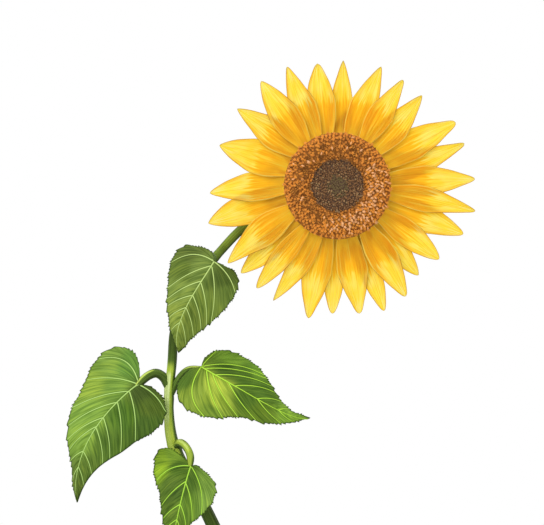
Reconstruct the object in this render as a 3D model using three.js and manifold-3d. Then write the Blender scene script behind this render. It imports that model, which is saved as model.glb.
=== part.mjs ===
// Dwarf sunflower plant, rooted in the ground: one stem, eight heart-shaped leaves on stalks
// and one flower head with 27 petals. Millimetres, +Z up.
// The origin is the centre of the flat cut under the stem, and the flower faces -Y.

import * as THREE from "three";
import { mergeVertices } from "three/addons/utils/BufferGeometryUtils.js";
import Module from "manifold-3d";

const wasm = await Module();
wasm.setup();

// ---------------------------------------------------------------- driving dimensions

const GAP = 0.3; // clearance between pieces that meet
const WELD_TOLERANCE = 1e-4; // corners closer than this are one

// The stem's centre line from the ground to the back of the flower head.
const STEM_LINE = [
  { at: [0, 0, 0], radius: 10 },
  { at: [0, 0, 16], radius: 7.8 },
  { at: [2, 1, 52], radius: 6.7 },
  { at: [4, 2, 105], radius: 6.3 },
  { at: [-1, 2, 153], radius: 6 },
  { at: [-19.5, 1, 195], radius: 5.6 },
  { at: [-37.5, 0, 232], radius: 5.2 },
  { at: [-53.6, -1, 265], radius: 4.9 },
  { at: [-57, -2, 300], radius: 3.9 },
  { at: [-54.2, -1, 335], radius: 3.9 },
  { at: [-52.8, 0, 358], radius: 3.7 },
  { at: [-48, 1, 380], radius: 3.5 },
  { at: [-35, 2, 403], radius: 3.4 },
  { at: [-16.6, 4, 424.5], radius: 3.6 },
  { at: [2.4, 8, 445.1], radius: 3.8 },
  { at: [24.3, 14, 462.6], radius: 4 },
  { at: [47, 22, 475], radius: 4.2 },
  { at: [67, 26, 480.5], radius: 4.7 },
  { at: [80, 20, 482], radius: 5.4 },
  { at: [85, 10, 482.3], radius: 6.4 },
  { at: [85, GAP, 482.3], radius: 8 },
];
const NECK_START = 0.79; // share of the stem's length at which the neck takes over
const STEM_SIDES = 12;
const STEM_STEPS = 46;
const NECK_STEPS = 16;
const LENGTH_DIVISIONS = 1000; // how finely the centre line's length is measured
const LEVEL_BELOW = 1; // corners under this height are set level with the ground

// Flower head, in its own frame: x to the right, y up the face, z out of the face.
const HEAD_CENTRE = [85, -18, 482.3];
const DRUM_RADIUS = 44; // wall under the rim of the disc, where the petals are rooted
const HEART_RADIUS = 22;
const DISC_SIDES = 40;

// Profiles of the turned pieces: [radius, height over the head's own plane].
const DISC_PROFILE = [
  [HEART_RADIUS + GAP, GAP], [DRUM_RADIUS, GAP], [DRUM_RADIUS, 11], [45.5, 11.6], [45.5, 13.5],
  [43.5, 15.6], [39.5, 17], [32.5, 17.6], [26, 17], [HEART_RADIUS + GAP, 16], [HEART_RADIUS + GAP, GAP],
];
const HEART_PROFILE = [
  [0, GAP], [HEART_RADIUS, GAP], [HEART_RADIUS, 14.4], [20, 15.4], [13, 15.4], [8, 14.6], [0, 14.2],
];
const CALYX_PROFILE = [
  [0, -18], [8.5, -18], [16, -16.5], [27, -13], [36, -8.5], [41.5, -4], [DRUM_RADIUS - 1, 0], [0, 0],
];

// Bracts grow from under the rim in two rows. Heights are over the head's own plane.
const BRACTS_PER_ROW = 13;
const BRACT_ROOT_RADIUS = 32;
const BRACT_REACH = [66, 60]; // tip radius of each row
const BRACT_HEIGHT = [-4, -7];
const BRACT_ARCH = 2;
const BRACT_DROOP = 2; // the tip lies this much lower than the root
const BRACT_WIDTH = 14;
const BRACT_TAPER_FROM = 0.45; // share of the length from which the sides draw together
const BRACT_TAPER = 0.92; // share of the width that is gone at the blunt tip
const BRACT_TAPER_POWER = 1.7;
const BRACT_THICKNESS = 1.1;
const BRACT_ROWS = 5;
const BRACT_COLUMNS = 2;

const RAY_BEND = 0.35; // petals turn this share of their bend in the inner half

// Petals, anticlockwise from the right: root angle and tip angle in degrees, reach of the tip
// from the head's centre, greatest width, layer (0 is at the back) and how full the tip is
// (1 has straight sides, 2 has round ones).
const PETALS = [
  { root: 3.5, tip: 3, reach: 116.5, width: 26, layer: 1, fullness: 1.2 },
  { root: 14.5, tip: 18.4, reach: 113.5, width: 22, layer: 0, fullness: 1.1 },
  { root: 29.5, tip: 28.3, reach: 114, width: 26, layer: 1, fullness: 1.4 },
  { root: 44, tip: 46.9, reach: 103.5, width: 24, layer: 2, fullness: 1.1 },
  { root: 59, tip: 58.1, reach: 105.6, width: 22, layer: 3, fullness: 1.1 },
  { root: 73, tip: 69.8, reach: 106.3, width: 24, layer: 1, fullness: 1.1 },
  { root: 86.8, tip: 87.2, reach: 105.5, width: 19.5, layer: 0, fullness: 1.1 },
  { root: 103.3, tip: 98.9, reach: 105.5, width: 24.5, layer: 2, fullness: 1.6 },
  { root: 115, tip: 112.7, reach: 109, width: 24, layer: 3, fullness: 1.1 },
  { root: 128, tip: 126.2, reach: 108.3, width: 25.5, layer: 4, fullness: 1.5 },
  { root: 139, tip: 142.6, reach: 105, width: 26, layer: 3, fullness: 1.1 },
  { root: 158.7, tip: 161, reach: 104, width: 29.5, layer: 2, fullness: 1.5 },
  { root: 178.3, tip: 183, reach: 107.3, width: 24.5, layer: 1, fullness: 1.4 },
  { root: 192, tip: 196.1, reach: 112, width: 27, layer: 0, fullness: 1.8 },
  { root: 208.5, tip: 215.2, reach: 112.3, width: 26, layer: 3, fullness: 1.1 },
  { root: 222.5, tip: 222.1, reach: 109, width: 22, layer: 2, fullness: 1.6 },
  { root: 232.5, tip: 231.7, reach: 109.5, width: 18, layer: 3, fullness: 1.8 },
  { root: 247, tip: 240.8, reach: 109.7, width: 19.5, layer: 2, fullness: 1.1 },
  { root: 255, tip: 257.7, reach: 114, width: 25.5, layer: 1, fullness: 1.3 },
  { root: 268, tip: 267.9, reach: 108, width: 17.5, layer: 0, fullness: 2.1 },
  { root: 280.5, tip: 280, reach: 110, width: 26, layer: 1, fullness: 1.3 },
  { root: 292, tip: 290.6, reach: 112.3, width: 18.5, layer: 0, fullness: 1.9 },
  { root: 303.5, tip: 301.8, reach: 110, width: 25, layer: 2, fullness: 1.4 },
  { root: 314, tip: 312.4, reach: 101.5, width: 21, layer: 1, fullness: 1.6 },
  { root: 327, tip: 324.2, reach: 105.5, width: 22.3, layer: 2, fullness: 1.8 },
  { root: 340.5, tip: 339.3, reach: 114.3, width: 25, layer: 1, fullness: 1.5 },
  { root: 353, tip: 349.7, reach: 118, width: 22, layer: 2, fullness: 1.1 },
];
const PETAL_THICKNESS = 0.9;
const PETAL_LAYER_STEP = 2;
const PETAL_FIRST_LAYER = 1.2; // height of the back layer over the head's own plane
const PETAL_ARCH = 3; // the petals rise this much on the way to the tip
const PETAL_ARCH_TURN = 2.4; // radians of a sine wave from root to tip
const PETAL_CUP = 0.6; // their edges stand this much over their middle
const PETAL_FULL_AT = 0.45; // share of the length at which a petal is widest
const PETAL_ROOT_WIDTH = 0.52; // share of the width at the root
const PETAL_TIP_ROUNDING = 0.8; // under 1 rounds the sides towards the tip
const PETAL_BLUNT_SHARE = 0.985; // the sides close over what is left of the length
const PETAL_ROWS = 9;
const PETAL_COLUMNS = 2;

// Leaf outlines as shares of the leaf's length: [along, across] from the notch, where the
// stalk joins, round each side to the tip.
const HEART_OUTLINE = {
  left: [[-0.08, -0.07], [-0.13, -0.19], [-0.05, -0.31], [0.1, -0.37], [0.28, -0.35],
    [0.48, -0.27], [0.68, -0.17], [0.86, -0.07]],
  right: [[-0.08, 0.07], [-0.12, 0.18], [-0.04, 0.3], [0.11, 0.35], [0.29, 0.33],
    [0.49, 0.25], [0.69, 0.15], [0.87, 0.06]],
};

// Leaves from the top of the stem down. junction is where stalk and blade meet, face is the
// way the blade looks, bow is how far its midrib swings sideways and bowAt where it does
// most, arch is how far it stands out between junction and tip, stalk is the stalk's line.
const LEAVES = [
  {
    name: "leaf_1",
    junction: [-17.6, -26, 419.4], tip: [-47.2, -24, 343.2], face: [-0.1, -1, 0.15],
    bow: -0.076, bowAt: 0.7, arch: 14, fold: 0.22,
    outline: {
      left: [[-0.07, -0.044], [-0.09, -0.13], [-0.075, -0.225], [-0.055, -0.32], [0, -0.385],
        [0.08, -0.41], [0.165, -0.412], [0.25, -0.393], [0.35, -0.353], [0.45, -0.31],
        [0.59, -0.257], [0.71, -0.2], [0.815, -0.15], [0.87, -0.1], [0.94, -0.05]],
      right: [[-0.005, 0.05], [0.008, 0.12], [0.014, 0.187], [0.042, 0.256], [0.11, 0.306],
        [0.168, 0.325], [0.255, 0.329], [0.326, 0.313], [0.435, 0.279], [0.583, 0.21],
        [0.706, 0.142], [0.781, 0.095], [0.865, 0.055], [0.948, 0.026]],
    },
    stalk: [[-20, 3.5, 421], [-20.5, -4, 423.5], [-19.5, -14, 424.5], [-18.2, -22, 422.3]],
    stalkRadii: [2.4, 2.2],
  },
  {
    name: "leaf_2",
    junction: [-28.9, -12, 330.9], tip: [62.9, -8, 287.2], face: [0.05, -1, 0.45],
    bow: -0.1, bowAt: 0.62, arch: 15, fold: 0.2,
    outline: {
      left: [[-0.03, -0.018], [-0.08, -0.068], [-0.108, -0.16], [-0.106, -0.23], [-0.075, -0.288],
        [-0.007, -0.339], [0.065, -0.368], [0.136, -0.379], [0.2, -0.382], [0.297, -0.36],
        [0.344, -0.337], [0.413, -0.301], [0.523, -0.262], [0.595, -0.253], [0.662, -0.238],
        [0.733, -0.209], [0.791, -0.173], [0.86, -0.128], [0.905, -0.084]],
      right: [[-0.007, 0.03], [-0.003, 0.08], [0.025, 0.141], [0.061, 0.18], [0.116, 0.212],
        [0.197, 0.223], [0.268, 0.216], [0.354, 0.194], [0.436, 0.163], [0.507, 0.12],
        [0.578, 0.079], [0.656, 0.025], [0.739, -0.014], [0.816, -0.036], [0.875, -0.034],
        [0.937, -0.018]],
    },
    stalk: [[-57, -2, 303], [-52.5, -2, 312.8], [-47.5, -3, 321.6], [-40.5, -6, 328]],
    stalkRadii: [3.2, 2.1],
  },
  {
    name: "leaf_3",
    junction: [-81.6, -11, 315.7], tip: [-133.1, -14, 216.9], face: [-0.2, -1, 0.15],
    bow: -0.1, bowAt: 0.55, arch: 18, fold: 0.22,
    outline: {
      left: [[-0.06, -0.045], [-0.126, -0.087], [-0.176, -0.157], [-0.19, -0.25], [-0.15, -0.335],
        [-0.107, -0.378], [-0.054, -0.4], [0.03, -0.411], [0.139, -0.389], [0.257, -0.364],
        [0.348, -0.358], [0.428, -0.34], [0.519, -0.298], [0.616, -0.252], [0.695, -0.197],
        [0.759, -0.15], [0.856, -0.1], [0.938, -0.05]],
      right: [[-0.02, 0.04], [-0.025, 0.1], [0.003, 0.19], [0.044, 0.244], [0.1, 0.282],
        [0.164, 0.298], [0.235, 0.287], [0.302, 0.256], [0.371, 0.212], [0.494, 0.155],
        [0.586, 0.1], [0.683, 0.053], [0.793, 0.018], [0.885, 0.001], [0.959, -0.002]],
    },
    stalk: [[-56.5, -1.5, 311], [-61, -2, 320.5], [-67.5, -4, 324.7], [-74.5, -7, 322.5]],
    stalkRadii: [4.1, 3.3],
  },
  {
    name: "leaf_4",
    junction: [-37.1, -22, 248.6], tip: [-54.1, -30, 166.7], face: [0, -1, 0.1],
    bow: -0.02, bowAt: 0.5, arch: 14, fold: 0.22,
    outline: {
      left: [[-0.045, -0.06], [-0.075, -0.105], [-0.11, -0.2], [-0.122, -0.27], [-0.099, -0.327],
        [-0.041, -0.366], [0.034, -0.366], [0.137, -0.345], [0.219, -0.304], [0.269, -0.266],
        [0.327, -0.236], [0.412, -0.208], [0.516, -0.171], [0.609, -0.133], [0.75, -0.09],
        [0.88, -0.045]],
      right: [[-0.02, 0.05], [0.012, 0.117], [0.071, 0.212], [0.119, 0.262], [0.184, 0.29],
        [0.249, 0.288], [0.329, 0.275], [0.361, 0.25], [0.436, 0.205], [0.486, 0.165],
        [0.559, 0.112], [0.7, 0.062], [0.85, 0.02]],
    },
    stalk: [[-52, -1, 260], [-48.2, -7, 266], [-42.3, -14, 264.3], [-37.9, -19.5, 257.5]],
    stalkRadii: [3.4, 3],
  },
  {
    name: "leaf_5",
    junction: [40, -24, 160], tip: [112, -50, 84], face: [0.35, -0.75, 0.65],
    bow: 0.06, bowAt: 0.5, arch: 14, fold: 0.2, outline: HEART_OUTLINE,
    stalk: [[1, 1, 146], [10, -6, 156], [20, -14, 162.5], [31, -20, 163.5]],
    stalkRadii: [3.5, 2.6],
  },
  {
    name: "leaf_6",
    junction: [-46, 32, 148], tip: [-122, 62, 78], face: [-0.35, 0.75, 0.65],
    bow: -0.06, bowAt: 0.5, arch: 14, fold: 0.2, outline: HEART_OUTLINE,
    stalk: [[3.5, 2, 118], [-10, 10, 133], [-22, 19, 146], [-35, 27, 151.5]],
    stalkRadii: [3.6, 2.7],
  },
  {
    name: "leaf_7",
    junction: [46, 34, 112], tip: [108, 78, 46], face: [0.4, 0.7, 0.6],
    bow: 0.05, bowAt: 0.5, arch: 13, fold: 0.2, outline: HEART_OUTLINE,
    stalk: [[4, 2, 84], [16, 10, 101], [26, 19, 111.5], [37, 27.5, 115]],
    stalkRadii: [3.6, 2.7],
  },
  {
    name: "leaf_8",
    junction: [-38, -28, 94], tip: [-98, -66, 36], face: [-0.4, -0.7, 0.6],
    bow: 0.05, bowAt: 0.5, arch: 12, fold: 0.2, outline: HEART_OUTLINE,
    stalk: [[2.5, 1, 58], [-8, -7, 76], [-18, -14.5, 89.5], [-29, -22, 96]],
    stalkRadii: [3.6, 2.7],
  },
];
const LEAF_THICKNESS = 1.4;
const LEAF_ROWS = 28;
const LEAF_HALF_COLUMNS = 2;
const LEAF_ROW_CROWDING = 1.3; // over 1 draws the midrib's rows towards the notch
const LOBE_ARCH = 0.4; // the lobes behind the notch hang by this share of the arch
const MIDRIB_FLATNESS = 0.6; // under 1 spreads the midrib's swing over more of its length
const TOOTH_DEPTH = 1;
const STALK_SIDES = 8;
const STALK_STEPS = 10;
const STALK_END_INSIDE = 2; // the stalk's line ends this far inside the blade

// ---------------------------------------------------------------- materials

const greenStem = new THREE.MeshStandardMaterial({ color: 0x6b8730, roughness: 0.7 });
const greenLeaf = new THREE.MeshStandardMaterial({ color: 0x5c8a2c, roughness: 0.65 });
const greenBract = new THREE.MeshStandardMaterial({ color: 0x648434, roughness: 0.75 });
const yellowPetal = new THREE.MeshStandardMaterial({ color: 0xffbe22, roughness: 0.6 });
const brownFloret = new THREE.MeshStandardMaterial({ color: 0x8b5a2b, roughness: 0.85 });
const darkHeart = new THREE.MeshStandardMaterial({ color: 0x54402c, roughness: 0.85 });

// ---------------------------------------------------------------- making closed solids

function vector(xyz) {
  return new THREE.Vector3(...xyz);
}

// Triangles to one closed geometry: equal corners are shared and collapsed faces dropped.
function weld(corners) {
  const loose = new THREE.BufferGeometry();
  const places = corners.flatMap((corner) => corner.toArray());
  loose.setAttribute("position", new THREE.Float32BufferAttribute(places, 3));
  const welded = mergeVertices(loose, WELD_TOLERANCE);
  const index = welded.getIndex().array;
  const kept = [];
  for (let i = 0; i < index.length; i += 3) {
    const [a, b, c] = index.slice(i, i + 3);
    if (a !== b && b !== c && c !== a) kept.push(a, b, c);
  }
  welded.setIndex(kept);
  return welded;
}

function pushQuad(corners, a, b, c, d) {
  corners.push(a, b, c, a, c, d);
}

// A sheet with a front (side = 1) and a back (side = -1), closed all round its edge.
// pointAt(row, column, side) gives the corners; rows run along, columns across.
function sheetSolid(rows, columns, pointAt) {
  const corners = [];
  const pushFace = (...places) => pushQuad(corners, ...places.map((place) => pointAt(...place)));
  for (let i = 0; i < rows; i++) {
    for (let j = 0; j < columns; j++) {
      pushFace([i, j, 1], [i + 1, j, 1], [i + 1, j + 1, 1], [i, j + 1, 1]);
      pushFace([i, j, -1], [i, j + 1, -1], [i + 1, j + 1, -1], [i + 1, j, -1]);
    }
    pushFace([i, 0, -1], [i + 1, 0, -1], [i + 1, 0, 1], [i, 0, 1]);
    pushFace([i, columns, 1], [i + 1, columns, 1], [i + 1, columns, -1], [i, columns, -1]);
  }
  for (let j = 0; j < columns; j++) {
    pushFace([0, j, 1], [0, j + 1, 1], [0, j + 1, -1], [0, j, -1]);
    pushFace([rows, j, -1], [rows, j + 1, -1], [rows, j + 1, 1], [rows, j, 1]);
  }
  return weld(corners);
}

// A tapering limb round part of a curve, with flat ends.
function limbSolid(curve, radiusAt, from, to, steps, sides) {
  let normal = new THREE.Vector3(0, 1, 0);
  const rings = [];
  const centres = [];
  for (let i = 0; i <= steps; i++) {
    const share = from + ((to - from) * i) / steps;
    const tangent = curve.getTangentAt(share);
    const centre = curve.getPointAt(share);
    normal = normal.clone().projectOnPlane(tangent).normalize();
    const binormal = new THREE.Vector3().crossVectors(tangent, normal);
    const radius = radiusAt(share);
    const ring = [];
    for (let j = 0; j < sides; j++) {
      const angle = (2 * Math.PI * j) / sides;
      ring.push(centre.clone()
        .addScaledVector(normal, radius * Math.cos(angle))
        .addScaledVector(binormal, radius * Math.sin(angle)));
    }
    rings.push(ring);
    centres.push(centre);
  }
  const corners = [];
  for (let j = 0; j < sides; j++) {
    const next = (j + 1) % sides;
    corners.push(centres[0], rings[0][next], rings[0][j]);
    corners.push(centres[steps], rings[steps][j], rings[steps][next]);
    for (let i = 0; i < steps; i++) {
      pushQuad(corners, rings[i][j], rings[i][next], rings[i + 1][next], rings[i + 1][j]);
    }
  }
  return weld(corners);
}

function toSolid(geometry, matrix = new THREE.Matrix4()) {
  const placed = geometry.clone().applyMatrix4(matrix);
  return new wasm.Manifold(new wasm.Mesh({
    numProp: 3,
    vertProperties: new Float32Array(placed.getAttribute("position").array),
    triVerts: new Uint32Array(placed.getIndex().array),
  }));
}

function toGeometry(solid) {
  const mesh = solid.getMesh();
  const geometry = new THREE.BufferGeometry();
  geometry.setAttribute("position", new THREE.Float32BufferAttribute(mesh.vertProperties, 3));
  geometry.setIndex(new THREE.Uint32BufferAttribute(mesh.triVerts, 1));
  return geometry;
}

function largestPiece(solid) {
  const larger = (best, piece) => (piece.volume() > best.volume() ? piece : best);
  return solid.decompose().reduce(larger);
}

function namedMesh(name, geometry, material) {
  const mesh = new THREE.Mesh(geometry, material);
  mesh.name = name;
  return mesh;
}

// ---------------------------------------------------------------- stem

const stemCurve = new THREE.CatmullRomCurve3(STEM_LINE.map((point) => vector(point.at)));
stemCurve.arcLengthDivisions = LENGTH_DIVISIONS;
const stemRadii = new THREE.SplineCurve(STEM_LINE.map(({ radius }) => new THREE.Vector2(radius, 0)));

function stemRadiusAt(share) {
  return stemRadii.getPoint(stemCurve.getUtoTmapping(share)).x;
}

// The stem stands on a level cut.
function makeStem() {
  const geometry = limbSolid(stemCurve, stemRadiusAt, 0, NECK_START, STEM_STEPS, STEM_SIDES);
  const positions = geometry.getAttribute("position");
  for (let i = 0; i < positions.count; i++) {
    if (positions.getZ(i) < LEVEL_BELOW) positions.setZ(i, 0);
  }
  return namedMesh("stem", geometry, greenStem);
}

function makeNeck() {
  const start = NECK_START + GAP / stemCurve.getLength();
  const geometry = limbSolid(stemCurve, stemRadiusAt, start, 1, NECK_STEPS, STEM_SIDES);
  return namedMesh("neck", geometry, greenStem);
}

// The room that the stem takes up, with the clearance round it.
function stemRoom() {
  const roomy = (share) => stemRadiusAt(share) + GAP;
  return toSolid(limbSolid(stemCurve, roomy, 0, NECK_START, STEM_STEPS, STEM_SIDES));
}

// ---------------------------------------------------------------- leaves

// One side of a blade's edge, from the notch to the tip, with saw teeth.
function bladeEdge(sidePoints, length) {
  const curve = new THREE.SplineCurve([[0, 0], ...sidePoints, [1, 0]].map(
    ([along, across]) => new THREE.Vector2(along * length, across * length)));
  const outward = Math.sign(sidePoints[1][1]);
  return curve.getSpacedPoints(LEAF_ROWS).map((point, i) => {
    const tangent = curve.getTangentAt(i / LEAF_ROWS);
    const inside = i > 1 && i < LEAF_ROWS - 1;
    const depth = inside && i % 2 === 1 ? TOOTH_DEPTH : 0;
    const out = new THREE.Vector2(-tangent.y, tangent.x).multiplyScalar(outward * depth);
    return point.clone().add(out);
  });
}

function midribOffset(leaf, along) {
  if (along <= 0) return 0;
  const wave = Math.sin(Math.PI * along ** (Math.log(0.5) / Math.log(leaf.bowAt)));
  return leaf.bow * Math.max(wave, 0) ** MIDRIB_FLATNESS;
}

// Height of the blade over the flat plane through its junction and tip.
function bladeHeight(leaf, length, x, y) {
  const along = x / length;
  const fromMidrib = Math.abs(y - midribOffset(leaf, along) * length);
  const arch = leaf.arch * Math.sin(Math.PI * along) * (along > 0 ? 1 : LOBE_ARCH);
  return arch - leaf.fold * fromMidrib;
}

// The blade lies along x with its notch at the origin, and looks along z.
function bladeGeometry(leaf, thickness) {
  const length = vector(leaf.tip).distanceTo(vector(leaf.junction));
  const edges = [bladeEdge(leaf.outline.left, length), bladeEdge(leaf.outline.right, length)];
  const columns = 2 * LEAF_HALF_COLUMNS;
  return sheetSolid(LEAF_ROWS, columns, (row, column, side) => {
    const along = (row / LEAF_ROWS) ** LEAF_ROW_CROWDING;
    const rib = new THREE.Vector2(along, midribOffset(leaf, along)).multiplyScalar(length);
    const outward = column / LEAF_HALF_COLUMNS - 1;
    const point = rib.lerp(edges[outward < 0 ? 0 : 1][row], Math.abs(outward));
    const height = bladeHeight(leaf, length, point.x, point.y);
    return new THREE.Vector3(point.x, point.y, height + (side * thickness) / 2);
  });
}

function makeBlade(leaf) {
  const mesh = namedMesh(leaf.name, bladeGeometry(leaf, LEAF_THICKNESS), greenLeaf);
  const along = vector(leaf.tip).sub(vector(leaf.junction)).normalize();
  const across = new THREE.Vector3().crossVectors(vector(leaf.face), along).normalize();
  const out = new THREE.Vector3().crossVectors(along, across);
  mesh.position.copy(vector(leaf.junction));
  mesh.quaternion.setFromRotationMatrix(new THREE.Matrix4().makeBasis(along, across, out));
  mesh.updateMatrix();
  return mesh;
}

// The stalk starts inside the stem and ends inside the blade, and is cut clear of both.
function makeStalk(leaf, blade, room) {
  const inward = vector(leaf.tip).sub(vector(leaf.junction)).setLength(STALK_END_INSIDE);
  const end = vector(leaf.junction).add(inward);
  const curve = new THREE.CatmullRomCurve3([...leaf.stalk.map(vector), end]);
  const [rootRadius, endRadius] = leaf.stalkRadii;
  const radiusAt = (share) => THREE.MathUtils.lerp(rootRadius, endRadius, share);
  const whole = toSolid(limbSolid(curve, radiusAt, 0, 1, STALK_STEPS, STALK_SIDES));
  const bladeRoom = toSolid(bladeGeometry(leaf, LEAF_THICKNESS + 2 * GAP), blade.matrix);
  const cut = largestPiece(whole.subtract(room).subtract(bladeRoom));
  return namedMesh(leaf.name.replace("leaf", "stalk"), toGeometry(cut), greenStem);
}

// ---------------------------------------------------------------- flower head

// A body of revolution round z, from a profile of [radius, height] points.
function turned(profile) {
  const corners = profile.map(([radius, height]) => new THREE.Vector2(radius, height));
  const lathe = new THREE.LatheGeometry(corners, DISC_SIDES);
  lathe.rotateX(Math.PI / 2);
  lathe.deleteAttribute("normal");
  lathe.deleteAttribute("uv");
  return weld(cornersOf(lathe));
}

function cornersOf(geometry) {
  const loose = geometry.toNonIndexed().getAttribute("position");
  const cornerAt = (_, i) => new THREE.Vector3().fromBufferAttribute(loose, i);
  return Array.from({ length: loose.count }, cornerAt);
}

// A long thin blade that points away from the head's axis: width and height are functions of
// the share of the way from root to tip.
function rayBlade(shape) {
  const { rootRadius, reach, rootAngle, tipAngle, widthAt, heightAt } = shape;
  const { thickness, rows, columns } = shape;
  const root = new THREE.Vector2(rootRadius, 0).rotateAround(new THREE.Vector2(), rootAngle);
  const tip = new THREE.Vector2(reach, 0).rotateAround(new THREE.Vector2(), tipAngle);
  const middle = new THREE.Vector2((rootRadius + reach) / 2, 0)
    .rotateAround(new THREE.Vector2(), rootAngle + (tipAngle - rootAngle) * RAY_BEND);
  const line = new THREE.QuadraticBezierCurve(root, middle, tip);
  return sheetSolid(rows, columns, (row, column, side) => {
    const share = row / rows;
    const tangent = line.getTangent(share);
    const offset = column / columns - 0.5;
    const across = new THREE.Vector2(-tangent.y, tangent.x).multiplyScalar(offset * widthAt(share));
    const point = line.getPoint(share).add(across);
    return new THREE.Vector3(point.x, point.y, heightAt(share, 2 * offset) + (side * thickness) / 2);
  });
}

// Lance-shaped: a waisted root, full width past the middle, and a narrow blunt tip.
function petalWidth(share, petal) {
  const spread = THREE.MathUtils.smoothstep(share, 0, PETAL_FULL_AT);
  const inner = THREE.MathUtils.lerp(PETAL_ROOT_WIDTH, 1, spread);
  const past = Math.max(share * PETAL_BLUNT_SHARE - PETAL_FULL_AT, 0) / (1 - PETAL_FULL_AT);
  return petal.width * inner * (1 - past ** petal.fullness) ** PETAL_TIP_ROUNDING;
}

function petalHeight(share, offset, petal) {
  const layer = PETAL_FIRST_LAYER + petal.layer * PETAL_LAYER_STEP;
  return layer + PETAL_ARCH * Math.sin(PETAL_ARCH_TURN * share) + PETAL_CUP * offset ** 2;
}

function makePetal(petal, number) {
  const geometry = rayBlade({
    rootRadius: DRUM_RADIUS + GAP,
    reach: petal.reach,
    rootAngle: THREE.MathUtils.degToRad(petal.root),
    tipAngle: THREE.MathUtils.degToRad(petal.tip),
    widthAt: (share) => petalWidth(share, petal),
    heightAt: (share, offset) => petalHeight(share, offset, petal),
    thickness: PETAL_THICKNESS,
    rows: PETAL_ROWS,
    columns: PETAL_COLUMNS,
  });
  return namedMesh(`petal_${String(number).padStart(2, "0")}`, geometry, yellowPetal);
}

function bractWidth(share) {
  const past = Math.max(share - BRACT_TAPER_FROM, 0) / (1 - BRACT_TAPER_FROM);
  return BRACT_WIDTH * (1 - BRACT_TAPER * past ** BRACT_TAPER_POWER);
}

function makeBract(row, index) {
  const angle = (2 * Math.PI * (index + row / 2)) / BRACTS_PER_ROW;
  const bend = (share) => BRACT_ARCH * Math.sin(Math.PI * share) - BRACT_DROOP * share;
  return toSolid(rayBlade({
    rootRadius: BRACT_ROOT_RADIUS,
    reach: BRACT_REACH[row],
    rootAngle: angle,
    tipAngle: angle,
    widthAt: bractWidth,
    heightAt: (share) => BRACT_HEIGHT[row] + bend(share),
    thickness: BRACT_THICKNESS,
    rows: BRACT_ROWS,
    columns: BRACT_COLUMNS,
  }));
}

// The green cup under the head, with two rows of pointed bracts grown on.
function makeCalyx() {
  let solid = toSolid(turned(CALYX_PROFILE));
  for (const row of [0, 1]) {
    for (let index = 0; index < BRACTS_PER_ROW; index++) {
      solid = solid.add(makeBract(row, index));
    }
  }
  return namedMesh("calyx", toGeometry(solid), greenBract);
}

// ---------------------------------------------------------------- the plant

const group = new THREE.Group();
group.add(makeStem(), makeNeck());

const room = stemRoom();
for (const leaf of LEAVES) {
  const blade = makeBlade(leaf);
  group.add(blade, makeStalk(leaf, blade, room));
}

const head = new THREE.Group();
head.position.copy(vector(HEAD_CENTRE));
head.rotation.x = Math.PI / 2;
head.add(makeCalyx());
head.add(namedMesh("disc", turned(DISC_PROFILE), brownFloret));
head.add(namedMesh("disc_heart", turned(HEART_PROFILE), darkHeart));
PETALS.forEach((petal, i) => head.add(makePetal(petal, i + 1)));
group.add(head);

export default group;
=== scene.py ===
"""Dwarf sunflower plant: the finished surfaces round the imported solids.

Shapes are worked out in millimetres with numpy and become meshes in metres. The flower head is
shaped in its own frame (x to the right, y up the face, z out of the face), and each leaf in
shares of its length. Their main shapes follow the same rules as the solids.
"""

import math

import bpy
import numpy as np
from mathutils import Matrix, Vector, noise


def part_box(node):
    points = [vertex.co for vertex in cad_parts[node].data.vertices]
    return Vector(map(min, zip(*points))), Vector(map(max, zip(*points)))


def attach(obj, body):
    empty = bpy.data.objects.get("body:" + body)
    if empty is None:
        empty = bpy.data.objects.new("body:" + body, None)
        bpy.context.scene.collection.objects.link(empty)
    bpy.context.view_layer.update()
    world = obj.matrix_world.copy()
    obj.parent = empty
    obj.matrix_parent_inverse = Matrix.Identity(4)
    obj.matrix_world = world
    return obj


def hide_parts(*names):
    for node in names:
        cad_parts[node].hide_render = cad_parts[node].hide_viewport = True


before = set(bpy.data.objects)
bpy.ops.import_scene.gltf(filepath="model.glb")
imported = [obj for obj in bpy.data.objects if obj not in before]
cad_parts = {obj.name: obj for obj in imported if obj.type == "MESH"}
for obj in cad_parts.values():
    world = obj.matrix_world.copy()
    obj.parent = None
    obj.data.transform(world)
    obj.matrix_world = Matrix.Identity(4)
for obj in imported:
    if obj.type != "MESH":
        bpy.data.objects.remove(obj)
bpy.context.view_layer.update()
rng = np.random.default_rng(27)

MM = 0.001

# ------------------------------------------------------------------ stem and stalks, mm

# The stem's middle line from the ground to the flower: x, y, z and the radius there.
STEM_LINE = [
    (0, 0, 0, 10), (0, 0, 16, 7.8), (2, 1, 52, 6.7), (4, 2, 105, 6.3), (-1, 2, 153, 6),
    (-19.5, 1, 195, 5.6), (-37.5, 0, 232, 5.2), (-53.6, -1, 265, 4.9), (-57, -2, 300, 3.9),
    (-54.2, -1, 335, 3.9), (-52.8, 0, 358, 3.7), (-48, 1, 380, 3.5), (-35, 2, 403, 3.4),
    (-16.6, 4, 424.5, 3.6), (2.4, 8, 445.1, 3.8), (24.3, 14, 462.6, 4), (47, 22, 475, 4.2),
    (67, 26, 480.5, 4.7), (80, 20, 482, 5.4), (85, 10, 482.3, 6.4), (85, 0, 482.3, 8),
]
STEM_STEPS_PER_SPAN = 22
STEM_ROW_STEP = 1.1
STEM_SIDES = 88
STEM_RIBS = 11
STEM_RIB_DEPTH = 0.035  # this, the foot's ridges and the unevenness are shares of the radius
FOOT_RIDGES = 5
FOOT_RIDGE_DEPTH = 0.1
FOOT_SHARE = 0.035  # share of the stem's length over which the foot's ridges fade
UNEVENNESS = 0.02
KNOT_HEIGHT = 0.55  # swelling where a stalk leaves the stem
KNOT_REACH = 5

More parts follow.
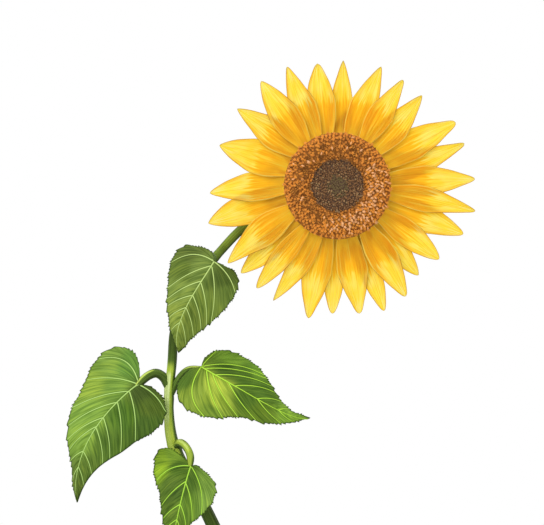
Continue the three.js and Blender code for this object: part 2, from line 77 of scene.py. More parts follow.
STALK_SIDES = 28
STALK_ROW_STEP = 1.2
STALK_GROOVES = 7
STALK_GROOVE_DEPTH = 0.07
COLLAR_DEPTH = 0.22  # share by which a stalk is narrower where it leaves the stem
RIB_START = 1.3  # radius of a leaf's midrib under the blade, at the notch
RIB_LEAST = 0.12
RIB_TAPER = 0.7

# Share of the stem's length and how pale its lit side is there.
STEM_LIGHT = [(0, 0.16), (0.36, 0.2), (0.42, 0.55), (0.45, 0.82), (0.5, 0.86), (0.52, 1.2),
              (0.56, 1.2), (0.578, 0.75), (0.59, 0.45), (0.605, 0.22), (0.63, 0.12),
              (0.66, 0.18), (0.72, 0.38), (0.78, 0.52), (0.85, 0.45), (1, 0.5)]
STEM_LIT = (-0.2, 0.75)  # how much a side faces the light, from dull to fully lit
STEM_PALEST = (0.72, 0.95)
PALE_FROM = 0.76  # above this only the palest stripe gets paler
STALK_LIT = (-0.2, 0.6)
STALK_SHINE = (0.86, 0.97)
STALK_PALEST = 0.86
LIT_WAY = np.array([-0.42, -0.88, 0.2])
STALK_LIT_WAY = np.array([-0.3, -0.58, 0.75])
FRONT = np.array([0.0, -1.0, 0.0])
# Least painted light on the side of a stem or stalk away from the front, and on a midrib.
BACK_LIT_STRIPE = 0.42
RIB_LIT_STRIPE = 0.72
END_ON = (0.3, 0.8)  # a ring whose sides face the front less than this is seen from its end

# ------------------------------------------------------------------ flower head, mm

DRUM_RADIUS = 44
HEART_RADIUS = 22
CALYX_DEPTH = 18
DISC_PROFILE = [(0, 14.0), (8, 14.4), (13, 15.2), (20, 15.4), (23, 16.4), (27, 17.0), (32, 17.5),
                (39, 16.8), (42, 15), (43.7, 12.4), (44.4, 10), (DRUM_RADIUS, 8), (DRUM_RADIUS, 0.3)]
DISC_TOP_POINTS = 11  # points of the profile before it turns down the drum's side
DISC_SIDES = 128
CORE_SINK = 0.9  # depth of the core under the tops of the florets' feet
WALL_GREEN_TO = (4.5, 7)  # heights between which the drum's side turns from green to brown
CALYX_PROFILE = [(DRUM_RADIUS - 1, 0.2), (41.5, -4), (36, -8.5), (27, -13), (16, -16.5),
                 (8.5, -CALYX_DEPTH), (5, -CALYX_DEPTH - 1.5)]
CALYX_SIDES = 208
FURROW_HEIGHT = 0.5
FURROWS_FROM = (10, 30)  # radii between which the furrows deepen

# Vogel's spiral: each floret adds the square of its spacing to the square of the radius.
GOLDEN_ANGLE = math.pi * (3 - math.sqrt(5))
FLORET_SPACING = (0.82, 1.3)
FLORET_WIDENS = (19, 28)  # radii between which the spacing grows from the first to the second
FLORET_FIELD = 43  # radius up to which florets stand
FLORET_JITTER = 0.42
FLORET_SINK = 1.3
FLORET_LEAN = 0.6
OLIVE_RADIUS = 11.5
OLIVE_FRINGE = 6  # depth of the fringe where olive buds mix with brown ones
HEART_FRINGE = 1.5
YOUNG_RADIUS = 25
YOUNG_FRINGE = 4
CLUMP_SCALE = 0.32
LIT_SIDE = math.radians(-35)  # the way towards the palest florets, where a highlight is painted on the disc, from the head's centre
# How much each of these adds to the tone of an open floret.
TONE_BASE = 0.3
TONE_LIT = 0.28
TONE_OUTER = 0.16
TONE_CLUMPS = 0.4
TONE_SPREAD = 0.1
TONE_OUTER_FROM = (HEART_RADIUS, 32)
RIM_TONE = 0.6
RIM_EVENNESS = 0.65  # how far the tones draw together towards the rim
RIM_FROM = (34, 40)
RIM_TICKS = 90
RIM_TICK_DEPTH = (-2.2, -0.4)
RIM_TICK_HEIGHT = (9.5, 12)
RIM_TICK_SIZE = 1.3
RIM_TICK_LEAN = 0.3

# Florets of unit size. The open one's rings: radius, height, and how far the lobes' tips
# spread and rise. The others': radius and height.
OPEN_FLORET = [(0.34, 0, 0, 0), (0.42, 0.55, 0.05, 0), (0.5, 0.85, 0.22, 0.06), (0.46, 1, 0.62, 0.1),
               (0.26, 0.86, 0, 0), (0.2, 0.4, 0, 0)]
LOBES = 5
YOUNG_FLORET = [(0.3, 0), (0.5, 0.5), (0.42, 0.9), (0.2, 1.15), (0.05, 1.25)]
YOUNG_SIDES = 7
BUD = [(0.42, 0), (0.5, 0.45), (0.34, 0.8), (0.06, 0.95)]
BUD_SIDES = 6
OLIVE_SIZE = 1.4
OLIVE_TALLNESS = 0.9
# These grow from the first to the second with the floret's tone.
BUD_SIZE = (1.3, 1.55)
YOUNG_SIZE = (1.7, 2.05)
OPEN_SIZE = (1.2, 1.75)
OPEN_TALLNESS = (1.4, 1.8)
DASH_SIZE = (1.2, 1.7)
DASH_LIFT = 1.9
DASH_FROM = 0.5  # tone above which an open floret has a lobe over it
FLORET_LOOKS = {
    "umber": ("open", "#A0662C"), "brown": ("open", "#D0883E"), "rust": ("open", "#EC9B44"),
    "orange": ("open", "#FAA846"), "peach": ("open", "#FDBE80"),
    "young_brown": ("young", "#A66C30"), "young_rust": ("young", "#D68A3C"),
    "bud_brown": ("bud", "#966E49"), "bud_dark": ("bud", "#805B3D"),
    "bud_olive": ("bud", "#776643"), "bud_tan": ("bud", "#AC8B61"),
    "dash_umber": ("dash", "#7A4C22"), "dash_orange": ("dash", "#F09A40"),
    "dash_peach": ("dash", "#FBBE86"),
}
# Tones up to which a floret has each look.
BUD_TONES = [(0.4, "bud_dark"), (0.9, "bud_brown"), (math.inf, "bud_tan")]
YOUNG_TONES = [(0.45, "young_brown"), (math.inf, "young_rust")]
OPEN_TONES = [(0.26, "umber"), (0.42, "brown"), (0.57, "rust"), (0.76, "orange"),
              (math.inf, "peach")]
DASH_TONES = [(0.48, "dash_umber"), (0.66, "dash_orange"), (math.inf, "dash_peach")]

# Rows of bracts from the petals back: width, turn as a share of a step, and (radius, height).
BRACTS_PER_ROW = 13
BRACT_ROWS = [
    (17, 0, [(32, -7.5), (41.5, -4.6), (45.5, -0.5), (50, 1.8), (58, 2.2), (66, 0.8)]),
    (15, 0.5, [(29, -10.5), (37, -8.7), (43, -4.3), (48, -1.5), (54, -0.8), (60, -2.6)]),
    (12, 0.2, [(21, -14), (29, -13), (36, -9.7), (42, -6.6), (47, -5.6), (52, -7.2)]),
]
BRACT_FULL_TO = 0.35  # share of its length up to which a bract keeps its width
BRACT_THICKNESS = 0.7
BRACT_HOLLOW = 1.2  # how deep a bract is cupped at its foot
BRACT_RIPPLE = (0.25, 11)  # height of the ribs, and radians from the midline to the edge
BRACT_DROOP = (0, 2)  # the droop, reach and turn (degrees) of a tip are drawn between these
BRACT_REACH = (-2, 2)
BRACT_TURN = (-5, 5)

# Petals: root angle, tip angle (degrees, anticlockwise from the right), reach, width, layer,
# fullness and bluntness of the tip. A blunt tip is wider by its bluntness and as much shorter.
PETALS = [
    (3.5, 3, 116.5, 26, 1, 1.2, 1.2), (14.5, 18.4, 113.5, 22, 0, 1.1, 1.6),
    (29.5, 28.3, 114, 26, 1, 1.4, 2.3), (44, 46.9, 103.5, 24, 2, 1.1, 0.6),
    (59, 58.1, 105.6, 22, 3, 1.1, 1.6), (73, 69.8, 106.3, 24, 1, 1.1, 0.5),
    (86.8, 87.2, 105.5, 19.5, 0, 1.1, 0.2), (103.3, 98.9, 105.5, 24.5, 2, 1.6, 1.7),
    (115, 112.7, 109, 24, 3, 1.1, 0.9), (128, 126.2, 108.3, 25.5, 4, 1.5, 0.7),
    (139, 142.6, 105, 26, 3, 1.1, 0.2), (158.7, 161, 104, 29.5, 2, 1.5, 0.3),
    (178.3, 183, 107.3, 24.5, 1, 1.4, 0.8), (192, 196.1, 112, 27, 0, 1.8, 0.1),
    (208.5, 215.2, 112.3, 26, 3, 1.1, 0.8), (222.5, 222.1, 109, 22, 2, 1.6, 0.8),
    (232.5, 231.7, 109.5, 18, 3, 1.8, 1.1), (247, 240.8, 109.7, 19.5, 2, 1.1, 0.2),
    (255, 257.7, 114, 25.5, 1, 1.3, 1.3), (268, 267.9, 108, 17.5, 0, 2.1, 1.5),
    (280.5, 280, 110, 26, 1, 1.3, 2.0), (292, 290.6, 112.3, 18.5, 0, 1.9, 1.2),
    (303.5, 301.8, 110, 25, 2, 1.4, 1.9), (314, 312.4, 101.5, 21, 1, 1.6, 0.7),
    (327, 324.2, 105.5, 22.3, 2, 1.8, 1.3), (340.5, 339.3, 114.3, 25, 1, 1.5, 1.5),
    (353, 349.7, 118, 22, 2, 1.1, 1.1),
]
PETAL_LAYER_STEP = 2
PETAL_FIRST_LAYER = 1.2
PETAL_THICKNESS = 0.4
PETAL_ROWS = 64
PETAL_ROWS_CROWD = 1.5  # above 1 the rows draw together towards the tip
PETAL_COLUMNS = 26
PETAL_ROOT_DEPTH = 1.5  # how far a root lies inside the drum
PETAL_ROOT_WIDTH = (0.8, 0.66, 0.54, 0.48, 0.44)  # by layer, as a share of the full width
PETAL_FULL_AT = 0.45
PETAL_TIP_ROUNDING = 0.8
TIP_ROUND_WITHIN = 0.5
TIP_BLUNT_TO = 8  # distance from the tip at which the bluntness has faded to a third
EDGE_WAVE = (0.012, 23)  # share of the width by which the edges wave, and radians to the tip
PETAL_ARCH = 3
PETAL_ARCH_TURN = 2.4
PETAL_CUP = 0.6
PETAL_TWIST = (-0.8, 0.8)  # the twist, curl and sway of a petal are drawn between these
PETAL_CURL = (-5, 3.5)
PETAL_SWAY = (0, 6)
PETAL_WARMTH = (0.4, 0.9)
CREASE = (0.4, 0.36, 0.13)  # depth, place across and half-width of a petal's two long creases
RIPPLE = (0.22, 19)  # height of the fine ribs, and radians from the midline to the edge
ROOT_LEVEL = 11.5  # height that the roots of all layers gather towards
ROOT_LIFT = 0.55
ROOT_LIFT_LENGTH = 0.14
SHADE_REACH = (1.6, 4.2)  # distances from a neighbour's edge between which its shade fades
SHADE_FADE = (56, 82)  # radii between which that shade fades
RAY_BEND = 0.35  # share of a petal's or bract's turn at which its curve's middle handle stands

# ------------------------------------------------------------------ leaves

# The outline runs from the notch round each side to the tip, as (along, across) in shares of
# the leaf's length. Veins are (share of the midrib where they leave it, along and across where
# they end, bulge towards the base), for each side. Colour patches at (along, across) blend softly;
# besides the leaf's own colour they hold painted light and shade, a paler lit side and a darker one.
HEART_LEAF = dict(
    fold=0.2, bow_at=0.5, stalk_green=0.45, rib_green="#B8DE70",
    outline=([(-0.08, -0.07), (-0.13, -0.19), (-0.05, -0.31), (0.1, -0.37), (0.28, -0.35),
              (0.48, -0.27), (0.68, -0.17), (0.86, -0.07)],
             [(-0.08, 0.07), (-0.12, 0.18), (-0.04, 0.3), (0.11, 0.35), (0.29, 0.33),
              (0.49, 0.25), (0.69, 0.15), (0.87, 0.06)]),
    veins=([(0, -0.05, -0.31, 0.15), (0, 0.22, -0.36, 0.1), (0.1, 0.42, -0.3, 0.06),
            (0.23, 0.56, -0.23, 0.06), (0.37, 0.68, -0.17, 0.06), (0.51, 0.78, -0.12, 0.06),
            (0.65, 0.87, -0.065, 0.06), (0.79, 0.94, -0.03, 0.05)],
           [(0, -0.04, 0.3, 0.15), (0, 0.23, 0.34, 0.1), (0.1, 0.43, 0.28, 0.06),
            (0.23, 0.57, 0.21, 0.06), (0.37, 0.69, 0.15, 0.06), (0.51, 0.79, 0.1, 0.06),
            (0.65, 0.87, 0.06, 0.06), (0.79, 0.94, 0.03, 0.05)]),
    tints_and_shading=[(-0.05, -0.2, "#6B9339"), (0.2, -0.27, "#7DA03F"), (0.45, -0.18, "#82A643"),
           (0.05, 0.08, "#4B6726"), (0.2, 0.27, "#5A7B2D"), (0.45, 0.1, "#5B7C2E"),
           (0.85, 0, "#6C8C36")],
)

# Leaves from the top of the stem down: where stalk and blade meet, the tip, the way the blade
# faces, the midrib's swing and where it is greatest, the arch, the fold along the midrib, both
# sides of the outline, the stalk's line and radii, and the colours: how pale the stalk's painted
# lit side is, the midrib's green, and colour patches that hold painted light and shade as well as
# the leaf's own colour. The swing is a share of the length and the fold a slope. Places, the arch
# and the radii are in mm.
LEAVES = [
    dict(junction=(-17.6, -26, 419.4), tip=(-47.2, -24, 343.2),
         face=(-0.1, -1, 0.15), bow=-0.076, bow_at=0.7, arch=14, fold=0.22,
         outline=([(-0.07, -0.044), (-0.09, -0.13), (-0.075, -0.225), (-0.055, -0.32), (0, -0.385),
                   (0.08, -0.41), (0.165, -0.412), (0.25, -0.393), (0.35, -0.353), (0.45, -0.31),
                   (0.59, -0.257), (0.71, -0.2), (0.815, -0.15), (0.87, -0.1), (0.94, -0.05)],
                  [(-0.005, 0.05), (0.008, 0.12), (0.014, 0.187), (0.042, 0.256), (0.11, 0.306),
                   (0.168, 0.325), (0.255, 0.329), (0.326, 0.313), (0.435, 0.279), (0.583, 0.21),
                   (0.706, 0.142), (0.781, 0.095), (0.865, 0.055), (0.948, 0.026)]),
         stalk=[(-20, 3.5, 421), (-20.5, -4, 423.5), (-19.5, -14, 424.5), (-18.2, -22, 422.3)],
         stalk_radii=(2.4, 2.2), stalk_green=0.4, rib_green="#C6DF84",
         veins=([(0, 0.173, -0.399, 0.18), (0.047, 0.412, -0.312, 0.06),
                 (0.225, 0.523, -0.277, 0.06), (0.39, 0.589, -0.251, 0.06),
                 (0.528, 0.7, -0.208, 0.06), (0.696, 0.819, -0.141, 0.06)],
                [(0, 0.217, 0.324, 0.09), (0.047, 0.575, 0.211, 0.07), (0.24, 0.633, 0.185, 0.06),
                 (0.39, 0.691, 0.149, 0.06), (0.53, 0.781, 0.095, 0.06), (0.665, 0.894, 0.038, 0.06)]),
         tints_and_shading=[(0, -0.28, "#627432"), (0.2, -0.27, "#64792D"), (0.12, -0.1, "#768C40"),
                (0.4, -0.21, "#7D9340"), (0.66, -0.16, "#8FA347"), (0.12, 0.16, "#526628"),
                (0.25, 0.26, "#667C34"), (0.45, 0.15, "#748A39"), (0.62, 0.05, "#6B7F32"),
                (0.85, 0, "#788C3A")]),
    dict(junction=(-28.9, -12, 330.9), tip=(62.9, -8, 287.2),
         face=(0.05, -1, 0.45), bow=-0.1, bow_at=0.62, arch=15, fold=0.2,
         outline=([(-0.03, -0.018), (-0.08, -0.068), (-0.108, -0.16), (-0.106, -0.23),
                   (-0.075, -0.288), (-0.007, -0.339), (0.065, -0.368), (0.136, -0.379),
                   (0.2, -0.382), (0.297, -0.36), (0.344, -0.337), (0.413, -0.301),
                   (0.523, -0.262), (0.595, -0.253), (0.662, -0.238), (0.733, -0.209),
                   (0.791, -0.173), (0.86, -0.128), (0.905, -0.084)],
                  [(-0.007, 0.03), (-0.003, 0.08), (0.025, 0.141), (0.061, 0.18), (0.116, 0.212),
                   (0.197, 0.223), (0.268, 0.216), (0.354, 0.194), (0.436, 0.163), (0.507, 0.12),
                   (0.578, 0.079), (0.656, 0.025), (0.739, -0.014), (0.816, -0.036),
                   (0.875, -0.034), (0.937, -0.018)]),
         stalk=[(-57, -2, 303), (-52.5, -2, 312.8), (-47.5, -3, 321.6), (-40.5, -6, 328)],
         stalk_radii=(3.2, 2.1), stalk_green=0.4, rib_green="#BCEC4A",
         veins=([(0, 0.196, -0.382, 0.2), (0.049, 0.324, -0.341, 0.06),
                 (0.104, 0.438, -0.289, 0.06), (0.254, 0.592, -0.255, 0.06),
                 (0.524, 0.782, -0.171, 0.06), (0.725, 0.876, -0.109, 0.06)],
                [(0, 0.062, 0.178, 0.03), (0, 0.504, 0.128, 0.1), (0.03, 0.533, 0.099, 0.06),
                 (0.13, 0.598, 0.063, 0.06), (0.31, 0.643, 0.032, 0.06), (0.519, 0.722, -0.009, 0.06),
                 (0.719, 0.8, -0.031, 0.06)]),
         tints_and_shading=[(0.2, 0.17, "#7CA336"), (0.2, 0.04, "#456220"), (0.36, 0.05, "#4C6C23"),
                (0.45, 0.13, "#6D9632"), (0.52, 0.01, "#547628"), (0.85, -0.06, "#82AA3B"),
                (-0.08, -0.17, "#577728"), (0.02, -0.24, "#8EA73C"), (0.18, -0.12, "#AFC545"),
                (0.24, -0.22, "#A3BA3F"), (0.42, -0.12, "#527224"), (0.6, -0.22, "#668328"),
                (0.22, -0.34, "#73902E")]),
    dict(junction=(-81.6, -11, 315.7), tip=(-133.1, -14, 216.9),
         face=(-0.2, -1, 0.15), bow=-0.1, bow_at=0.55, arch=18, fold=0.22,
         outline=([(-0.06, -0.045), (-0.126, -0.087), (-0.176, -0.157), (-0.19, -0.25),
                   (-0.15, -0.335), (-0.107, -0.378), (-0.054, -0.4), (0.03, -0.411),
                   (0.139, -0.389), (0.257, -0.364), (0.348, -0.358), (0.428, -0.34),
                   (0.519, -0.298), (0.616, -0.252), (0.695, -0.197), (0.759, -0.15),
                   (0.856, -0.1), (0.938, -0.05)],
                  [(-0.02, 0.04), (-0.025, 0.1), (0.003, 0.19), (0.044, 0.244), (0.1, 0.282),
                   (0.164, 0.298), (0.235, 0.287), (0.302, 0.256), (0.371, 0.212), (0.494, 0.155),
                   (0.586, 0.1), (0.683, 0.053), (0.793, 0.018), (0.885, 0.001),
                   (0.959, -0.002)]),
         stalk=[(-56.5, -1.5, 311), (-61, -2, 320.5), (-67.5, -4, 324.7), (-74.5, -7, 322.5)],
         stalk_radii=(4.1, 3.3), stalk_green=0.32, rib_green="#BCE07E",
         veins=([(0, -0.01, -0.399, 0.23), (0, 0.162, -0.388, 0.08), (0.076, 0.388, -0.347, 0.06),
                 (0.186, 0.508, -0.294, 0.06), (0.33, 0.605, -0.253, 0.06),
                 (0.407, 0.675, -0.212, 0.06), (0.619, 0.732, -0.164, 0.06),
                 (0.746, 0.869, -0.096, 0.06)],
                [(0, 0.089, 0.273, 0.1), (0.073, 0.378, 0.2, 0.06), (0.183, 0.501, 0.14, 0.06),
                 (0.33, 0.58, 0.094, 0.06), (0.419, 0.636, 0.066, 0.06), (0.621, 0.746, 0.023, 0.06),
                 (0.745, 0.86, -0.003, 0.06)]),
         tints_and_shading=[(-0.1, -0.15, "#66913A"), (-0.05, -0.32, "#7E9F42"), (0.18, -0.3, "#8CA93E"),
                (0.1, -0.15, "#7A9E40"), (0.35, -0.2, "#82A743"), (0.55, -0.17, "#86AA45"),
                (0.9, -0.03, "#62782F"), (0.04, 0.06, "#485D24"), (0.1, 0.15, "#566D26"),
                (0.24, 0.05, "#567A28"), (0.25, 0.22, "#4A6724"), (0.5, 0.05, "#56752A"),
                (0.75, -0.01, "#647F31")],
         smooth_from=(0.97, 0.5)),
    dict(junction=(-37.1, -22, 248.6), tip=(-54.1, -30, 166.7),
         face=(0, -1, 0.1), bow=-0.02, bow_at=0.5, arch=14, fold=0.22,
         outline=([(-0.045, -0.06), (-0.075, -0.105), (-0.11, -0.2), (-0.122, -0.27),
                   (-0.099, -0.327), (-0.041, -0.366), (0.034, -0.366), (0.137, -0.345),
                   (0.219, -0.304), (0.269, -0.266), (0.327, -0.236), (0.412, -0.208),
                   (0.516, -0.171), (0.609, -0.133), (0.75, -0.09), (0.88, -0.045)],
                  [(-0.02, 0.05), (0.012, 0.117), (0.071, 0.212), (0.119, 0.262), (0.184, 0.29),
                   (0.249, 0.288), (0.329, 0.275), (0.361, 0.25), (0.436, 0.205), (0.486, 0.165),
                   (0.559, 0.112), (0.7, 0.062), (0.85, 0.02)]),
         stalk=[(-52, -1, 260), (-48.2, -7, 266), (-42.3, -14, 264.3), (-37.9, -19.5, 257.5)],
         stalk_radii=(3.4, 3), stalk_green=0.62, rib_green="#B4E84E",
         veins=([(0, 0.21, -0.298, 0.15), (0.151, 0.433, -0.195, 0.06), (0.379, 0.55, -0.153, 0.06),
                 (0.529, 0.66, -0.115, 0.06), (0.68, 0.79, -0.075, 0.06)],
                [(0, 0.436, 0.196, 0.1), (0.167, 0.524, 0.125, 0.06), (0.379, 0.62, 0.09, 0.06),
                 (0.53, 0.72, 0.058, 0.06), (0.68, 0.82, 0.03, 0.06)]),
         tints_and_shading=[(0, -0.3, "#7F9F28"), (0.11, -0.3, "#8FB32C"), (-0.07, -0.2, "#74952D"),
                (0.05, -0.12, "#517022"), (0.2, -0.15, "#5A7629"), (0.28, -0.05, "#4E6C25"),
                (0.4, -0.13, "#607C2B"), (0.15, 0.05, "#507026"), (0.34, 0.05, "#6A8D30"),
                (0.1, 0.18, "#799C40"), (0.3, 0.23, "#82A648"), (0.7, 0, "#648429")]),
    dict(HEART_LEAF, junction=(40, -24, 160), tip=(112, -50, 84), face=(0.35, -0.75, 0.65), bow=0.06,
         arch=14, stalk=[(1, 1, 146), (10, -6, 156), (20, -14, 162.5), (31, -20, 163.5)],
         stalk_radii=(3.5, 2.6)),
    dict(HEART_LEAF, junction=(-46, 32, 148), tip=(-122, 62, 78), face=(-0.35, 0.75, 0.65), bow=-0.06,
         arch=14, stalk=[(3.5, 2, 118), (-10, 10, 133), (-22, 19, 146), (-35, 27, 151.5)],
         stalk_radii=(3.6, 2.7)),
    dict(HEART_LEAF, junction=(46, 34, 112), tip=(108, 78, 46), face=(0.4, 0.7, 0.6), bow=0.05,
         arch=13, stalk=[(4, 2, 84), (16, 10, 101), (26, 19, 111.5), (37, 27.5, 115)],
         stalk_radii=(3.6, 2.7)),
    dict(HEART_LEAF, junction=(-38, -28, 94), tip=(-98, -66, 36), face=(-0.4, -0.7, 0.6), bow=0.05,
         arch=12, stalk=[(2.5, 1, 58), (-8, -7, 76), (-18, -14.5, 89.5), (-29, -22, 96)],
         stalk_radii=(3.6, 2.7)),
]
LEAF_THICKNESS = 0.6
HALF_COLUMNS = 24
ROW_STEP = 0.7
ROWS_PER_VEIN = 8  # at least
TEETH_PER_SIDE = 42
TOOTH_DEPTH = 1.25
TOOTH_BACK = 0.78  # share of a tooth that is its long back
TOOTH_LEAN = 0.5
TEETH_FROM = (0.03, 0.1)  # shares of the edge between which the teeth begin
SMOOTH_FROM = (0.97, 0.97)  # shares of the two edges from which they have no teeth
VEIN_HALF_WIDTH = (0.48, 0.24)  # at the midrib and at the edge
VEIN_THINNING = (1.15, 0.75)  # from the first vein to the tip
VEIN_TROUGH = 3.2  # distances over which the blade swells away from a vein and from the midrib
RIB_TROUGH = 3
SWELL_HEIGHT = 0.8
FOLD_ROUNDING = 2
MIDRIB_FLATNESS = 0.6
LOBE_ARCH = 0.4  # the lobes behind the notch hang by this share of the arch
WAVE = (1.3, 13)  # height of a blade's waves, and radians from the notch to the tip
RIDGE_ROWS = 90
RIDGE_SIDES = 10
RIDGE_END = 0.985
RIDGE_HEIGHT = 0.2
RIDGE_RADIUS = (0.6, 0.22)  # at the notch and at the tip
TINT_SOFTNESS = 0.001
TINT_SHARPNESS = 2.4

# ------------------------------------------------------------------ camera, light and floor

VIEW_CENTRE = Vector((30.6, 0, 418.6)) * MM
VIEW_WIDTH = 462.4 * MM
LENS = 100
SENSOR = 36
LIT_POINT = (0.0, 0.0, 0.35)
# Name, place, size in metres and power in watts.
LIGHTS = [("key", (-1.3, -1.7, 1.9), 1.6, 30), ("back_fill", (1.2, 1.9, 1.3), 1.2, 14)]
PIGMENT = 0.84  # share of a colour's brightness that is paint; the bright studio adds the rest


def aim(obj, target):
    obj.rotation_euler = (Vector(target) - obj.location).to_track_quat("-Z", "Y").to_euler()


def add_camera():
    data = bpy.data.cameras.new("camera")
    data.lens = LENS
    data.sensor_width = SENSOR
    camera = bpy.data.objects.new("camera", data)
    camera.location = VIEW_CENTRE - Vector((0, VIEW_WIDTH * LENS / SENSOR, 0))
    aim(camera, VIEW_CENTRE)
    bpy.context.scene.collection.objects.link(camera)
    bpy.context.scene.camera = camera


def add_area_light(name, place, size, power):
    data = bpy.data.lights.new(name, "AREA")
    data.shape = "DISK"
    data.size = size
    data.energy = power
    light = bpy.data.objects.new(name, data)
    light.location = place
    aim(light, LIT_POINT)
    bpy.context.scene.collection.objects.link(light)


def add_surroundings():
    scene = bpy.context.scene
    scene.view_settings.view_transform = "Standard"
    scene.view_settings.look = "None"
    scene.world = bpy.data.worlds.new("pale_studio")
    scene.world.use_nodes = True
    background = scene.world.node_tree.nodes["Background"]
    background.inputs["Color"].default_value = (1, 1, 1, 1)
    background.inputs["Strength"].default_value = 1.0
    for light in LIGHTS:
        add_area_light(*light)
    bpy.ops.mesh.primitive_circle_add(vertices=128, radius=1.0, fill_type="NGON")
    floor = bpy.context.object
    floor.name = "floor"
    floor.data.materials.append(plain_material("floor_pale", "#E9E9E7", 0.9))


# ------------------------------------------------------------------ materials

GLOSS = 0.08  # soft plant skin reflects little
DARKEN = (0.5, 0.58, 0.38, 1.0)
LIGHTEN = (1.34, 1.24, 1.1, 1.0)
SIDE_LINES = (0.9, 0.74, 0.48, 1.0)
HAIR_LINES = (0.88, 0.7, 0.45, 1.0)
# The petal's orange at its root, outside PIGMENT: partly its own colour, partly painted light against
# the drum's shade.
PETAL_ROOT_COLOUR = (1.0, 0.47, 0.02, 1.0)
# Strokes along a blade's side veins: how many along and across, a seed, and the bands of the
# noise that darken and lighten the blade.
LEAF_STROKES = [
    ((22, 3.0), 5, (0.52, 0.7, 0, 0.35), None),
    ((58, 2.6), 0, (0.54, 0.66, 0, 0.55), (0.32, 0.45, 0.6, 0)),
    ((120, 3.5), 9, (0.52, 0.62, 0, 0.62), (0.36, 0.46, 0.8, 0)),
]


def linear(hex_colour):
    """The pigment of a surface that looks like an sRGB colour such as #FFB020 in this light."""
    parts = [int(hex_colour[i:i + 2], 16) / 255 for i in (1, 3, 5)]
    return tuple(PIGMENT * (c / 12.92 if c <= 0.04045 else ((c + 0.055) / 1.055) ** 2.4)
                 for c in parts) + (1.0,)


def plain_material(name, colour, roughness):
    paint = Paint(name, roughness)
    paint.shader.inputs["Base Color"].default_value = linear(colour)
    return paint.material


class Paint:
    """A material whose base colour is built up in layers. A mask is a socket, a number, or
    (value, low, high, start, end), which runs smoothly from start to end between low and high."""

    def __init__(self, name, roughness):
        self.material = bpy.data.materials.new(name)
        self.material.use_nodes = True
        self.tree = self.material.node_tree
        self.shader = self.tree.nodes["Principled BSDF"]
        self.shader.inputs["Roughness"].default_value = roughness
        self.shader.inputs["Specular IOR Level"].default_value = GLOSS

    def _set(self, socket, value):
        if hasattr(value, "links"):
            self.tree.links.new(value, socket)
        else:
            socket.default_value = value

    def math(self, operation, a, b=0.0):
        node = self.tree.nodes.new("ShaderNodeMath")
        node.operation = operation
        self._set(node.inputs[0], a)
        self._set(node.inputs[1], b)
        return node.outputs[0]

    def band(self, value, low, high, start=0.0, end=1.0):
        node = self.tree.nodes.new("ShaderNodeMapRange")
        node.interpolation_type = "SMOOTHSTEP"
        self._set(node.inputs["Value"], value)
        for name, number in (("From Min", low), ("From Max", high), ("To Min", start), ("To Max", end)):
            node.inputs[name].default_value = number
        return node.outputs["Result"]

    def product(self, *masks):
        masks = [self.band(*mask) if isinstance(mask, tuple) else mask for mask in masks]
        whole = masks[0]
        for mask in masks[1:]:
            whole = self.math("MULTIPLY", whole, mask)
        return whole

    def mix(self, factor, a, b, blend="MIX"):
        node = self.tree.nodes.new("ShaderNodeMix")
        node.data_type = "RGBA"
        node.blend_type = blend
        self._set(node.inputs["Factor"], factor)
        colours = [socket for socket in node.inputs if socket.type == "RGBA"]
        self._set(colours[0], a)
        self._set(colours[1], b)
        return [socket for socket in node.outputs if socket.type == "RGBA"][0]

    def cover(self, colour, *masks):
        """A layer of an sRGB colour where all the masks are high."""
        self.colour = self.mix(self.product(*masks), self.colour, linear(colour))

    def tone(self, factors, *masks):
        """A layer that multiplies the colour below it."""
        self.colour = self.mix(self.product(*masks), self.colour, factors, "MULTIPLY")

    def attribute(self, name, output="Fac"):
        node = self.tree.nodes.new("ShaderNodeAttribute")
        node.attribute_name = name
        return node.outputs[output]

    def surface_place(self):
        """The share along and the place across, from the UV map."""
        node = self.tree.nodes.new("ShaderNodeUVMap")
        node.uv_map = "surface"
        split = self.tree.nodes.new("ShaderNodeSeparateXYZ")
        self.tree.links.new(node.outputs["UV"], split.inputs[0])
        self.place = split.outputs["X"], split.outputs["Y"]
        return self.place

    def noise(self, vector, scale, detail):
        node = self.tree.nodes.new("ShaderNodeTexNoise")
        node.inputs["Scale"].default_value = scale
        node.inputs["Detail"].default_value = detail
        self.tree.links.new(vector, node.inputs["Vector"])
        return node.outputs["Fac"]

    def streaks(self, many_along, many_across, detail, seed=0.0):
        """Noise that is stretched over the surface."""
        join = self.tree.nodes.new("ShaderNodeCombineXYZ")
        for socket, place, many in zip(join.inputs, self.place, (many_along, many_across)):
            self._set(socket, self.math("MULTIPLY", place, many))
        join.inputs[2].default_value = seed
        return self.noise(join.outputs[0], 1.0, detail)

    def object_noise(self, scale, detail=3.0):
        return self.noise(self.tree.nodes.new("ShaderNodeTexCoord").outputs["Object"], scale, detail)

    def finish(self, height, distance):
        """Joins the colour and a bump to the shader."""
        self.tree.links.new(self.colour, self.shader.inputs["Base Color"])
        node = self.tree.nodes.new("ShaderNodeBump")
        node.inputs["Strength"].default_value = 0.6
        node.inputs["Distance"].default_value = distance
        self._set(node.inputs["Height"], height)
        self.tree.links.new(node.outputs["Normal"], self.shader.inputs["Normal"])
        return self.material


